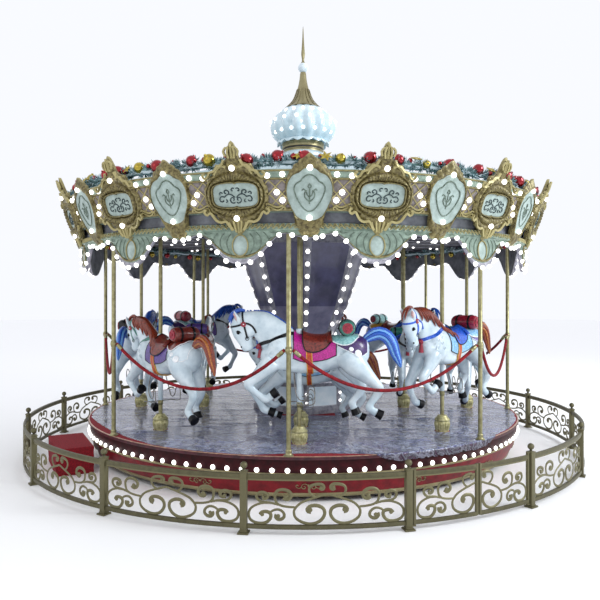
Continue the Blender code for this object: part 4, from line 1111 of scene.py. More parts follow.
BAUBLE_COUNT = 64
BAUBLE_PROFILE = [(math.cos(math.radians(a)), math.sin(math.radians(a))) for a in (-72, -48, -24, 0, 24, 48, 72)]
BAUBLE_PROFILE = [(0.0, -1.0), *BAUBLE_PROFILE, (0.20, 1.0), (0.20, 1.16), (0.0, 1.16)]
red_places, gold_places, small_places, star_places = [], [], [], []
for number in range(BAUBLE_COUNT):
    turn = CANOPY_TURN + TURN * (number + rng.uniform(-0.25, 0.25)) / BAUBLE_COUNT
    place, _ = on_garland(turn, rng.uniform(0.2, 1.5), 0.045)
    size = rng.choice((0.056, 0.064, 0.071, 0.046))
    hang = (Vector((rng.uniform(-1, 1), rng.uniform(-1, 1), 0.6))).normalized()
    (gold_places if number % 3 == 1 else red_places).append((place, hang, size * (0.86 if number % 3 == 1 else 1)))
    place, direction = on_garland(turn + TURN / (2 * BAUBLE_COUNT), rng.uniform(0.0, 2.2), 0.055)
    small_places.append((place, direction, rng.uniform(0.020, 0.032)))
    if number % 3 == 0:
        place, direction = on_garland(turn + TURN / 100, rng.uniform(0.2, 1.4), 0.070)
        star_places.append((place, direction, rng.uniform(0.055, 0.075)))


def hang_baubles(name, places, finish, sides=12):
    """Glass baubles with their caps, at (place, facing, size) points."""
    copy_piece(name, lathe(BAUBLE_PROFILE, sides), places, finish)


hang_baubles("garland_red_baubles", red_places, red_bauble)
hang_baubles("garland_gold_baubles", gold_places, gold_bauble)
hang_baubles("garland_small_baubles", small_places, red_bauble, 10)
star = bmesh.new()
tips = [star.verts.new((math.cos(TURN * i / 12) * reach, math.sin(TURN * i / 12) * reach, 0.0))
        for i, reach in enumerate((1.0, 0.42) * 6)]
for height in (-0.16, 0.16):
    bridge(star, [[star.verts.new((0.0, 0.0, height))], tips])
bmesh.ops.recalc_face_normals(star, faces=star.faces[:])
copy_piece("garland_stars", star, star_places, gold_bauble, sharp=20.0, turn=math.pi)


# Lamp dome: a pale blue lobed shell of glass fibre on the gilt neck, with a scalloped skirt above and below
# and opal bulbs in staggered rows on its lobes.
DOME_LOBES = 16
DOME_BULGE = 0.045
DOME_PROFILE = (
    (0.27, 3.9805), (0.33, 4.018), (0.37, 4.052), (0.402, 4.092), (0.42, 4.14), (0.425, 4.19), (0.414, 4.25),
    (0.385, 4.31), (0.34, 4.362), (0.285, 4.408), (0.235, 4.4395)
)
DOME_SIDES = 96

# Dome gelcoat: glossy and almost even, like all moulded glass fibre, with faint chalky patches.
shell_blue = mottled("pale_blue_dome_gelcoat", "#d9e9ef", "#b7d0da", 0.08, 0.0006, 0.3, 0.7, Roughness=0.25,
                     Coat_Weight=0.5)


def dome_point(angle, radius, height):
    """A point on the lobed shell."""
    lobe = 1.0 + DOME_BULGE * (1.0 - 2.2 * abs(math.cos(DOME_LOBES * angle / 2)) ** 3)
    return on_circle(radius * lobe, angle, height)


dome_shape = bmesh.new()
rings = [[dome_shape.verts.new(dome_point(TURN * i / DOME_SIDES, radius, height)) for i in range(DOME_SIDES)]
         for radius, height in DOME_PROFILE]
bridge(dome_shape, rings)
dome_shape.faces.new(rings[0])
dome_shape.faces.new(rings[-1])
add_piece("lamp_dome_shell", dome_shape, [shell_blue], ["lamp_dome"], 50.0)

skirts = []
for radius, height, flare, drop in ((0.300, 4.016, 0.055, -0.046), (0.255, 4.425, 0.050, -0.034)):
    skirt = bmesh.new()
    loops = []
    for out, low in ((-0.02, 0.016), (0.0, 0.012), (flare, drop * 0.5), (flare, drop), (-0.02, -0.004)):
        loop = []
        for i in range(DOME_SIDES):
            scallop = abs(math.sin(DOME_LOBES * TURN * i / (2 * DOME_SIDES)))
            loop.append(skirt.verts.new(on_circle(radius + out * (0.72 + 0.28 * scallop), TURN * i / DOME_SIDES,
                                                  height + low * (0.6 + 0.8 * scallop))))
        loops.append(loop)
    bridge(skirt, loops, closed=True)
    skirts.append(skirt)
add_piece("lamp_dome_skirts", joined(skirts), [shell_blue])
dome_bulbs = []
for row, (radius, height, lift) in enumerate(((0.410, 4.105, -0.3), (0.414, 4.250, 0.35), (0.328, 4.373, 0.85))):
    for i in range(DOME_LOBES):
        angle = TURN * (i + 0.5 * (row % 2)) / DOME_LOBES
        dome_bulbs.append((dome_point(angle, radius, height), on_circle(1.0, angle, lift).normalized(), 0.022))
set_bulbs("lamp_dome_bulbs", dome_bulbs)


# Spire: an onion neck of spun metal, gilded over grey primer and ribbed with gilt wire, with a white moulded
# ball and a slender turned point screwed on top of each other.

# Gilding: leaf over primer, gone dull and grey in hand-wide patches. The ball is glossy, a little chalked.
gilt = mottled("dull_gilding", "#a09873", "#7b7150", 0.22, 0.0004, 0.3, 0.7, Metallic=0.6, Roughness=0.38)
white_ball = mottled("white_gelcoat_ball", "#e2ecf2", "#c5d4dd", 0.05, Roughness=0.2, Coat_Weight=0.6)
NECK_FOOT = 4.4403
NECK_TOP = 4.944
BALL_RADIUS = 0.069
BALL_MIDDLE = 5.006
SPIRE_RIBS = 16
neck_line = smooth_through([(0.0, NECK_FOOT), (0.238, NECK_FOOT), (0.234, 4.456), (0.204, 4.480), (0.165, 4.520),
                            (0.128, 4.575), (0.102, 4.635), (0.082, 4.70), (0.062, 4.78), (0.047, 4.86),
                            (0.037, 4.94), (0.0, 4.945)], 3)[4:-3]
add_piece("spire_onion_neck", lathe([(0.0, NECK_FOOT), *neck_line, (0.0, NECK_TOP)], 32), [gilt], ["spire"])
ball_line = [(BALL_RADIUS * math.cos(math.radians(a)), BALL_MIDDLE + BALL_RADIUS * math.sin(math.radians(a)))
             for a in range(-75, 76, 15)]
add_piece("spire_ball", lathe([(0.0, 4.938), *ball_line, (0.0, 5.075)], 24), [white_ball])
add_piece("spire_point", lathe((
    (0.0, 5.066), (0.024, 5.066), (0.028, 5.078), (0.016, 5.092), (0.016, 5.12), (0.024, 5.17), (0.026, 5.2),
    (0.022, 5.24), (0.016, 5.32), (0.01, 5.42), (0.006, 5.52), (0.0, 5.577)
), 16), [gilt])
RIB_LINE = ((0.236, 4.452), (0.200, 4.486), (0.150, 4.545), (0.112, 4.615), (0.080, 4.71))
spire_ribs = [smooth_through([tuple(on_circle(radius + 0.004, TURN * i / SPIRE_RIBS, height))
                              for radius, height in RIB_LINE], 2) for i in range(SPIRE_RIBS)]
bar_piece("spire_ribs", spire_ribs, 0.010, 0.010, gilt, sides=5)


# Platform: plywood on the turning frame under glued red felt, edged in maroon with a rose gilt bead on top.
# Twelve fluted brass barrels are screwed down where the horses' poles pass through.
PLATFORM_TOP = 0.448
OUTER_CIRCLE = 2.19
INNER_CIRCLE = 1.35
HORSE_TURN = math.radians(-1.0)

# Edge paint is scuffed by shoes to a dull plum, and the bead's gilding has worn to its pink ground.
nosing_maroon = mottled("dull_maroon_edge_paint", "#5a2530", "#35141c", 0.06, Roughness=0.45)
nosing_gilt = mottled("rose_gilt_bead", "#c9a489", "#93695a", 0.04, Metallic=0.6, Roughness=0.35)
coat_node("platform", carpet)
nosing = ring_shape(((2.724, 0.4165), (2.738, 0.4165), (2.74, 0.42), (2.74, 0.446), (2.736, 0.45), (2.724, 0.45)),
                    RING_SIDES, (0, 0, 0, 1, 1, 1))
add_piece("platform_nosing", nosing, [nosing_maroon, nosing_gilt])

BARREL_PROFILE = (
    (0.07, 0.438), (0.0705, 0.4495), (0.0715, 0.456), (0.0775, 0.478), (0.0835, 0.505), (0.0855, 0.53),
    (0.082, 0.552), (0.0765, 0.558), (0.0765, 0.561), (0.083, 0.565), (0.0845, 0.574), (0.074, 0.586), (0.064, 0.598),
    (0.056, 0.608), (0.05, 0.616), (0.05, 0.622), (0.025, 0.624), (0.025, 0.6)
)
BARREL_SIDES = 40
FLUTE_DEPTH = 0.09

# Pale brass: spun sheet with its lacquer gone milky, so it is nearly white in the light.
pale_brass = mottled("spun_pale_brass", "#dcd6a6", "#9a9460", 0.03, 0.0004, Metallic=0.55, Roughness=0.42)
horse_places = [(OUTER_CIRCLE, HORSE_TURN + TURN * i / 8) for i in range(8)]
horse_places += [(INNER_CIRCLE, HORSE_TURN + TURN * i / 4) for i in range(4)]
barrels = []
for circle, angle in horse_places:
    barrel = bmesh.new()
    loops = []
    for radius, height in BARREL_PROFILE:
        flute = FLUTE_DEPTH if 0.450 < height < 0.557 else 0.0
        loops.append([barrel.verts.new(on_circle(radius * (1.0 - flute * (i % 2)), TURN * i / BARREL_SIDES, height))
                      for i in range(BARREL_SIDES)])
    bridge(barrel, loops, closed=True)
    bmesh.ops.translate(barrel, verts=barrel.verts[:], vec=on_circle(circle, angle))
    barrels.append(barrel)
add_piece("pole_barrels", joined(barrels), [pale_brass], sharp=50.0)


# Protective film: clear polythene laid over the felt in four cuts from a wide roll and cut out round the barrels
# and the column. Its lavender is a painted reflection of the pale sky, with painted white highlights along the
# creases, and at the front right it hangs over the rim, where the maroon paint shows through.
film, film_tree, film_shader = new_finish("wrinkled_polythene_film", Roughness=0.14, Coat_Weight=0.4,
                                          Coat_Roughness=0.08)
film_place = add_node(film_tree, "ShaderNodeTexCoord").outputs["Object"]
film_warp = add_node(film_tree, "ShaderNodeTexNoise", {"Vector": film_place, "Scale": 1.7, "Detail": 3.0})
film_warp = add_node(film_tree, "ShaderNodeVectorMath", {0: film_warp.outputs["Color"], "Scale": 1.3},
                     operation="SCALE")
film_spot = add_node(film_tree, "ShaderNodeVectorMath", {0: film_place, 1: film_warp.outputs[0]}, operation="ADD")
folds = None
for turn, size in ((10.0, 2.6), (62.0, 3.6), (-38.0, 5.5)):
    film_lie = add_node(film_tree, "ShaderNodeMapping", {"Vector": film_spot.outputs[0], "Scale": (1.0, 3.6, 1.0),
                                                         "Rotation": (0.0, 0.0, math.radians(turn))})
    fold = add_node(film_tree, "ShaderNodeTexVoronoi", {"Vector": film_lie.outputs[0], "Scale": size},
                    feature="DISTANCE_TO_EDGE")
    fold = add_node(film_tree, "ShaderNodeMapRange", {"Value": fold.outputs["Distance"], 2: 0.09, 3: 1.0, 4: 0.0},
                    interpolation_type="SMOOTHSTEP")
    if folds:
        fold = add_node(film_tree, "ShaderNodeMath", {0: folds.outputs[0], 1: fold.outputs[0]}, operation="MAXIMUM")
    folds = fold
creases = add_node(film_tree, "ShaderNodeTexNoise", {"Vector": film_lie.outputs[0], "Scale": 4.0, "Detail": 6.0,
                                                     "Roughness": 0.65})
# Painted reflection of the pale sky: lighter lavender in patches along the creases.
painted_sky_tone = add_node(film_tree, "ShaderNodeMapRange", {"Value": creases.outputs["Fac"], 1: 0.38, 2: 0.64})
thin = add_node(film_tree, "ShaderNodeTexNoise", {"Vector": film_place, "Scale": 1.4, "Detail": 5.0})
thin = add_node(film_tree, "ShaderNodeMapRange", {"Value": thin.outputs["Fac"], 1: 0.54, 2: 0.70, 4: 0.42})
film_level = add_node(film_tree, "ShaderNodeSeparateXYZ", {0: film_place}).outputs["Z"]
drop = add_node(film_tree, "ShaderNodeMapRange", {"Value": film_level, 1: 0.452, 2: 0.436, 4: 0.9})
# Painted white highlights along the folds, fainter where the film hangs over the rim.
painted_crease_highlight = add_node(film_tree, "ShaderNodeMapRange", {"Value": drop.outputs[0], 3: 0.50, 4: 0.24})
painted_crease_highlight = add_node(film_tree, "ShaderNodeMath", {0: folds.outputs[0], 1: painted_crease_highlight.outputs[0]}, operation="MULTIPLY")
film_colour = linear("#3b3a66")
for layer, colour in ((painted_sky_tone, "#8086b8"), (thin, "#673448"), (drop, "#3a1c2e"), (painted_crease_highlight, "#c4cfe2")):
    film_colour = add_node(film_tree, "ShaderNodeMix", {0: layer.outputs[0], 6: film_colour, 7: linear(colour)},
                           data_type="RGBA").outputs[2]
film_tree.links.new(film_colour, film_shader.inputs["Base Color"])
film_height = add_node(film_tree, "ShaderNodeMath", {0: folds.outputs[0], 1: creases.outputs["Fac"]},
                       operation="ADD")
film_relief = add_node(film_tree, "ShaderNodeBump", {"Strength": 1.0, "Distance": 0.020,
                                                     "Height": film_height.outputs[0]})
film_tree.links.new(film_relief.outputs["Normal"], film_shader.inputs["Normal"])

FILM_CELL = 0.036
FILM_LIP = 2.7425
BARREL_HOLE = 0.084
COLUMN_SIDES = 8
COLUMN_TURN = math.radians(4.0)
COLUMN_FOOT = 0.66
FILM_CUTS = (("front", (-2.60, -2.84), (2.60, -0.68)), ("back", (-2.60, 0.68), (2.60, 2.84)),
             ("left", (-2.74, -0.672), (-0.40, 0.672)), ("right", (0.40, -0.672), (2.74, 0.672)))
holes = [on_circle(circle, angle) for circle, angle in horse_places]


def film_reach(turn):
    """How far from the axis the film goes at a turn, the part that hangs over the rim laid flat."""
    hang = 0.088 * min(1.0, max(0.0, 1.3 - 1.3 * ((turn - 0.54) / 0.30) ** 4))
    if hang > 0.0:
        return FILM_LIP + hang - 0.012 * noise.noise(Vector((turn * 20.0, 1.7, 0.0)))
    bare = 0.10 * max(0.0, 1.0 - ((turn - 0.03) / 0.21) ** 2) + 0.08 * max(0.0, 1.0 - ((turn + 0.95) / 0.35) ** 2)
    return 2.712 - bare - 0.014 * abs(noise.noise(Vector((turn * 16.0, 4.1, 0.0))))


def column_reach(turn):
    """Half the width of the column's foot plus a small gap, at a turn."""
    half_side = TURN / COLUMN_SIDES / 2
    past = (turn - COLUMN_TURN) % (2 * half_side) - half_side
    return COLUMN_FOOT * math.cos(half_side) / math.cos(past) + 0.006


for side, low, high in FILM_CUTS:
    width, length = (high[i] - low[i] for i in (0, 1))
    sheet = bmesh.new()
    bmesh.ops.create_grid(sheet, x_segments=round(width / FILM_CELL), y_segments=round(length / FILM_CELL), size=1.0)
    gone = []
    for vert in sheet.verts:
        vert.co = Vector((low[0] + (vert.co.x + 1.0) / 2 * width, low[1] + (vert.co.y + 1.0) / 2 * length, 0.0))
        turn = math.atan2(vert.co.x, -vert.co.y)
        for edge, way in ((film_reach(turn), 1), (column_reach(turn), -1)):
            over = (vert.co.length - edge) * way
            if over > FILM_CELL * 0.9:
                gone.append(vert)
            elif over > 0.0:
                vert.co *= edge / vert.co.length
        for centre in holes:
            away = vert.co - centre
            if away.length < BARREL_HOLE * 0.55:
                gone.append(vert)
            elif away.length < BARREL_HOLE:
                vert.co = centre + away.normalized() * BARREL_HOLE
    bmesh.ops.delete(sheet, geom=list(set(gone)), context="VERTS")
    flat_area = sum(face.calc_area() for face in sheet.faces)
    for vert in sheet.verts:
        x, y, _ = vert.co
        ridge = noise.noise(Vector((x * 1.3, y * 6.5, 2.0))) + 0.5 * noise.noise(Vector((x * 3.1, y * 15.0, 7.0)))
        flat = min(1.0, max(0.0, (2.69 - vert.co.length) / 0.12))
        vert.co.z = PLATFORM_TOP + 0.0015 + 0.012 * flat * max(0.0, ridge) ** 1.3
        reach = math.hypot(x, y)
        if reach > FILM_LIP - 0.020:
            over = max(0.0, reach - FILM_LIP - 0.014)
            radius = FILM_LIP + (0.003 if over else 0.0)
            vert.co = Vector((x * radius / reach, y * radius / reach, 0.4525 - over))
    bmesh.ops.recalc_face_normals(sheet, faces=sheet.faces[:])
    if sum(face.normal.z for face in sheet.faces) < 0.0:
        bmesh.ops.reverse_faces(sheet, faces=sheet.faces[:])
    mesh = bpy.data.meshes.new("film_" + side)
    sheet.to_mesh(mesh)
    sheet.free()
    piece = add_piece("film_" + side, mesh, [film], sharp=0.0)
    mesh.shade_smooth()


# Apron: painted sheet steel that hangs from the platform's rim, dark maroon above with a row of opal bulbs
# and red below, where cast gilt scrolls are riveted on at sixteen places. Gilt beads close both bands.

# Both enamels are sprayed in thin coats, so that they are satin and vary a little in depth.
maroon = mottled("dark_maroon_enamel", "#3f0b13", "#26070c", 0.08, 0.0005, Roughness=0.45, Specular_IOR_Level=0.2)
apron_red = mottled("deep_red_enamel", "#84101c", "#5c0912", 0.09, 0.0005, Roughness=0.42, Specular_IOR_Level=0.25)
APRON_OUTSIDE = (
    (2.72, 0.4155), (2.72, 0.292), (2.726, 0.288), (2.727, 0.28), (2.724, 0.274), (2.717, 0.27), (2.674, 0.16),
    (2.634, 0.088), (2.636, 0.078), (2.63, 0.062), (2.612, 0.046)
)
apron_shape = ring_shape((*APRON_OUTSIDE, (2.590, 0.046), (2.612, 0.088), (2.655, 0.162), (2.700, 0.272),
                          (2.700, 0.4155)), RING_SIDES, (0, 1, 1, 1, 1, 2, 2, 1, 1, 1, 0, 0, 0, 0, 0, 0))
add_piece("apron_skirt", apron_shape, [maroon, gilt, apron_red], ["apron"])

APRON_SCROLLS = (
    ((6, 205), (30, 222), (58, 214), (66, 190), (52, 172), (32, 178), (34, 196), (46, 198)),
    ((66, 190), (88, 178), (112, 186), (118, 204), (104, 212), (96, 202))
)
RED_BAND = ((2.674, 0.160), (2.717, 0.270))
APRON_RADIUS = 2.70
SCROLL_PLACES = 16
APRON_BULBS = 120


def on_apron(across, height, out, angle):
    """A point of the apron's lower band."""
    (low_radius, low), (high_radius, high) = RED_BAND
    radius = low_radius + (height - low) * (high_radius - low_radius) / (high - low) + out
    return on_circle(radius, angle + across / APRON_RADIUS, height)


apron_routes, apron_studs = [], []
for number in range(SCROLL_PLACES):
    angle = CANOPY_TURN + TURN * number / SCROLL_PLACES
    apron_routes += both_sides(APRON_SCROLLS, 2, lambda x, y: on_apron(x, y - 0.035, 0.003, angle))
    apron_studs.append((on_apron(0.0, 0.168, 0.002, angle), on_circle(1.0, angle, -0.4).normalized(), 0.014))
bar_piece("apron_scrolls", apron_routes, 0.010, 0.008, gilt, sides=5)
copy_piece("apron_studs", lathe(((0.0, -0.2), (1.0, -0.2), (0.8, 0.5), (0.0, 0.8)), 8), apron_studs, gilt)
set_bulbs("apron_bulbs", [(on_circle(2.722, TURN * i / APRON_BULBS, 0.318), on_circle(1.0, TURN * i / APRON_BULBS),
                           0.025) for i in range(APRON_BULBS)])


# Rim poles: drawn brass tube on a turned foot, with a ringed collar for the rope hooks and a head flange
# under the ceiling.
RIM_POLE_PROFILE = (
    (0.0, 0.4485), (0.048, 0.4485), (0.048, 0.454), (0.036, 0.46), (0.03, 0.47), (0.028, 0.492), (0.031, 0.497),
    (0.028, 0.504), (0.0222, 0.51), (0.0222, 1.38), (0.027, 1.386), (0.031, 1.392), (0.029, 1.398), (0.034, 1.404),
    (0.034, 1.428), (0.029, 1.434), (0.031, 1.44), (0.027, 1.446), (0.0222, 1.452), (0.0222, 2.63), (0.028, 2.64),
    (0.03, 2.65), (0.026, 2.66), (0.034, 2.676), (0.044, 2.69), (0.044, 2.6995), (0.0, 2.6995)
)
pole_bodies = [placed(lathe(RIM_POLE_PROFILE, 20), on_circle(RIM_POLE_CIRCLE, ROPE_TURN + TURN * i / ROPE_COUNT))
               for i in range(ROPE_COUNT)]
add_piece("rim_poles", joined(pole_bodies), [brass], [f"rim_pole_{i + 1}" for i in range(ROPE_COUNT)],
          40.0)


# Centre column: eight flat sheets of painted glass fibre on a steel mast, waisted in the middle and wide under
# the ceiling. Ribs cover the joints and carry lines of opal bulbs.

# Rows of the column as (radius, height, finish of the panel below), and the corners of a side as (share of its
# width, share of the inset).
COLUMN_ROWS = (
    (0.66, 0.4485, 0), (0.66, 0.5, 0), (0.62, 0.53, 0), (0.62, 0.545, 0), (0.62, 0.785, 1), (0.62, 0.8, 0),
    (0.64, 0.83, 0), (0.635, 0.845, 0), (0.55, 0.87, 0), (0.545, 0.88, 0), (0.475, 0.96, 2), (0.43, 1.05, 2),
    (0.405, 1.18, 2), (0.402, 1.3, 2), (0.425, 1.42, 2), (0.47, 1.52, 2), (0.53, 1.66, 2), (0.6, 1.8, 2),
    (0.67, 2.0, 3), (0.74, 2.2, 3), (0.8, 2.4, 3), (0.855, 2.59, 3), (0.862, 2.6, 0), (0.862, 2.6995, 0)
)
PANEL_SPANS = ((0.53, 0.80), (0.885, 2.595))
PANEL_INSET = 0.010
SIDE_SHARES = ((0.0, 0.0), (0.055, 0.0), (0.085, 1.0), (0.36, 1.0), (0.64, 1.0), (0.915, 1.0), (0.945, 0.0))

COLUMN_BULB_ROWS = 11
COLUMN_BULB_FOOT = 0.97
COLUMN_BULB_STEP = 0.15

# Rib paint is a thin silver grey. The panels are enamelled in three depths of blue, hazy in arm-long patches.
rib_grey = mottled("silver_grey_rib_paint", "#a5a5ae", "#72727e", 0.05, 0.0005, Roughness=0.4, Metallic=0.2)
low_panel = mottled("blue_white_panel_enamel", "#eef9ff", "#cfe4f0", 0.25, 0.0005, Roughness=0.25, Coat_Weight=0.4)
mid_panel = mottled("lavender_panel_enamel", "#8e8ca6", "#66647f", 0.2, 0.0006, Roughness=0.35, Coat_Weight=0.3)
high_panel = mottled("indigo_panel_enamel", "#5b5a80", "#403f5e", 0.2, 0.0006, Roughness=0.4, Coat_Weight=0.3)


def on_rib(side, radius, height):
    """The place of a rib at a height."""
    return on_circle(radius, COLUMN_TURN + TURN * side / COLUMN_SIDES, height)


column_shape = bmesh.new()
loops = []
for radius, height, _ in COLUMN_ROWS:
    inset = PANEL_INSET if any(low < height < high for low, high in PANEL_SPANS) else 0.0
    loop = []
    for side in range(COLUMN_SIDES):
        here, there = on_rib(side, radius, height), on_rib(side + 1, radius, height)
        inward = -((here + there) / 2 - Vector((0.0, 0.0, height))).normalized()
        loop += [column_shape.verts.new(here.lerp(there, share) + inward * inset * deep)
                 for share, deep in SIDE_SHARES]
    loops.append(loop)
for faces, (_, _, kind) in zip(bridge(column_shape, loops), COLUMN_ROWS[1:]):
    for i, face in enumerate(faces):
        face.material_index = kind if 2 <= i % len(SIDE_SHARES) <= 4 else 0
column_shape.faces.new(loops[0])
column_shape.faces.new(loops[-1])
add_piece("column_panels", column_shape, [rib_grey, low_panel, mid_panel, high_panel],
          ["centre_column"])

column_bulbs = []
for side in range(COLUMN_SIDES):
    facing = on_rib(side, 1.0, 0.0)
    for row in range(COLUMN_BULB_ROWS):
        height = COLUMN_BULB_FOOT + COLUMN_BULB_STEP * row
        for (r0, z0, _), (r1, z1, _) in zip(COLUMN_ROWS, COLUMN_ROWS[1:]):
            if z0 <= height < z1:
                column_bulbs.append((on_rib(side, r0 + (r1 - r0) * (height - z0) / (z1 - z0), height), facing, 0.030))
    column_bulbs += [(on_rib(side, 0.622, height), facing, 0.020) for height in (0.60, 0.70)]
set_bulbs("column_bulbs", column_bulbs, 6)


# Ceiling: dark painted boards between twenty-eight radial battens, with bulbs along them and a second fir
# garland round the rim.

# Ceiling paint is matt and sooty, so that the boards drop back behind the lit bulbs.
coat_node("ceiling", mottled("dark_ceiling_paint", "#3a3846", "#26242e", 0.12, 0.0008, Roughness=0.7))
BATTENS = 28
CEILING_FIR_CIRCLE = 2.62
HANGING_BAUBLES = 70
batten_bodies, ceiling_bulbs = [], []
downward = Vector((0.0, 0.0, -1.0))
for number in range(BATTENS):
    angle = CANOPY_TURN + TURN * (number + 0.5) / BATTENS
    batten = box((-0.014, 0.875, 2.688), (0.014, 2.60, 2.6998), 0.003)
    bmesh.ops.rotate(batten, verts=batten.verts[:], cent=(0.0, 0.0, 0.0),
                     matrix=Matrix.Rotation(angle + math.pi, 3, "Z"))
    batten_bodies.append(batten)
    if number % 2:
        ceiling_bulbs += [(on_circle(radius, angle, 2.687), downward, 0.020)
                          for radius in (1.02, 1.2, 1.4, 1.6, 1.8, 2.0, 2.36, 2.5)]
add_piece("ceiling_battens", joined(batten_bodies), [rib_grey])
set_bulbs("ceiling_bulbs", ceiling_bulbs, 6)
fir_ring("ceiling_garland", CEILING_FIR_CIRCLE, 2.640, 0.045, 760)
hanging = []
for number in range(HANGING_BAUBLES):
    angle = TURN * (number + rng.uniform(-0.3, 0.3)) / HANGING_BAUBLES
    hanging.append((on_circle(CEILING_FIR_CIRCLE, angle, 2.600 - rng.uniform(0.0, 0.02)), downward,
                    rng.choice((0.034, 0.045, 0.03))))
hang_baubles("ceiling_red_baubles", hanging[::2], red_bauble)
hang_baubles("ceiling_gold_baubles", hanging[1::2], gold_bauble)


# Canopy frame: welded steel sweeps out of sight over the ceiling, and a gilt neck that shows over the roof
# under the lamp dome.
coat_node("canopy_frame", ground_steel)
NECK_PROFILE = (
    (0.262, 3.7615), (0.325, 3.7615), (0.325, 3.8), (0.3, 3.83), (0.262, 3.852), (0.262, 3.868), (0.274, 3.874),
    (0.274, 3.882), (0.258, 3.888), (0.258, 3.9), (0.28, 3.908), (0.28, 3.93), (0.275, 3.95), (0.284, 3.958),
    (0.284, 3.972), (0.272, 3.9795), (0.255, 3.9795)
)
add_piece("neck_mouldings", ring_shape(NECK_PROFILE, 64, (1, 1, 1, 1)), [gilt, shell_blue])


# Horses: glass-fibre shells in white gelcoat, each hung on a brass pole with a white sleeve and a plain foot.
# Mane, tail and tack are moulded on and painted by hand, no two horses alike, and the hooves are dipped black.
# Lengths run forward from the pole, to the rider's left, and up from the platform at mid travel.

# White gelcoat: hard and glossy from the mould, with painted grey blue shade in its hollows.
gelcoat = mottled("white_gelcoat", "#dceaf1", "#b9cdd8", 0.16, 0.0004,
                  over=("Pointiness", 0.498, 0.455, 0.9, "#7d98a8"), Roughness=0.2, Coat_Weight=0.5,
                  Coat_Roughness=0.06)


def hand_painted(name, light, dark, grain=0.02, relief=0.0012, rough=0.32, coat=0.4, specular=0.5):
    """Glossy sign-writer's enamel over moulded relief, darker where it has pooled between the ridges."""
    return mottled(name, light, dark, grain, relief, Roughness=rough, Coat_Weight=coat, Coat_Roughness=0.1,
                   Specular_IOR_Level=specular)


magenta = hand_painted("magenta_blanket_enamel", "#cf1f9a", "#8c0f6b", 0.012, 0.005)
sky = hand_painted("sky_blanket_enamel", "#a5d3ec", "#4f97cf", 0.02, 0.003)
violet = hand_painted("violet_blanket_enamel", "#6a4fa8", "#3d2a6c", 0.012, 0.003)
purple = hand_painted("purple_crupper_enamel", "#4a2a6e", "#2a1542")
tan = hand_painted("maroon_saddle_enamel", "#8a3327", "#4a1613")
royal = hand_painted("royal_blue_enamel", "#2b6be0", "#123c9c")
blue_hair = hand_painted("blue_hair_enamel", "#2467d2", "#143f9e", 0.012, 0.003)
pale_hair = hand_painted("pale_blue_hair_enamel", "#94c8f4", "#4f97e0", 0.012, 0.003)
chestnut = hand_painted("chestnut_hair_enamel", "#9c3c1c", "#561607", 0.012, 0.003)
amber = hand_painted("amber_hair_enamel", "#c47a30", "#86400f", 0.012, 0.003)
orange = hand_painted("orange_girth_enamel", "#cf4d14", "#a2310a")
yellow = hand_painted("yellow_edge_enamel", "#e0a83a", "#b87f22")
teal = hand_painted("pale_teal_enamel", "#a9dbd8", "#6cabb0")
green = hand_painted("green_roll_enamel", "#3f8f78", "#1d4f52", 0.03)
tack_black = hand_painted("black_strap_enamel", "#14181e", "#07080b", coat=0.2, specular=0.3)
crimson = hand_painted("crimson_rosette_enamel", "#b2203c", "#6c0c22")
rosy = hand_painted("rosy_ear_enamel", "#dcb7b6", "#b08583")
hoof_black = hand_painted("hoof_dip", "#0a0b10", "#030305", 0.01, 0.0008, 0.4, 0.12, 0.2)
white_spot = hand_painted("white_spot_enamel", "#ffffff", "#d9e2ea")
footrest_steel = hand_painted("grey_footrest_paint", "#8b8a86", "#5d5b58")

# Sections of the body: the trunk as (forward, top, bottom, half width), the neck and head as (forward, height,
# heading in degrees, half depth, half width), and each leg as (forward, side, height, radius). A muscle is its
# middle and its three half sizes.
TRUNK = (
    (-0.695, 0.93, 0.8, 0.055), (-0.65, 0.99, 0.72, 0.11), (-0.56, 1.022, 0.69, 0.15), (-0.44, 1.018, 0.7, 0.155),
    (-0.28, 1.005, 0.665, 0.15), (-0.12, 1.01, 0.64, 0.158), (0.05, 1.04, 0.64, 0.155), (0.2, 1.015, 0.675, 0.14),
    (0.31, 0.945, 0.715, 0.105), (0.375, 0.875, 0.77, 0.06)
)
NECK = (
    (0.07, 0.84, 48, 0.195, 0.1), (0.17, 0.93, 50, 0.19, 0.095), (0.25, 1.015, 50, 0.172, 0.082),
    (0.315, 1.075, 44, 0.155, 0.07), (0.385, 1.125, 28, 0.14, 0.062), (0.48, 1.165, 0, 0.096, 0.056),
    (0.55, 1.155, -40, 0.098, 0.064), (0.578, 1.105, -75, 0.108, 0.068), (0.562, 1.04, -98, 0.105, 0.062),
    (0.545, 0.98, -106, 0.082, 0.046), (0.525, 0.925, -108, 0.064, 0.041), (0.51, 0.885, -110, 0.06, 0.045),
    (0.502, 0.862, -110, 0.042, 0.034)
)
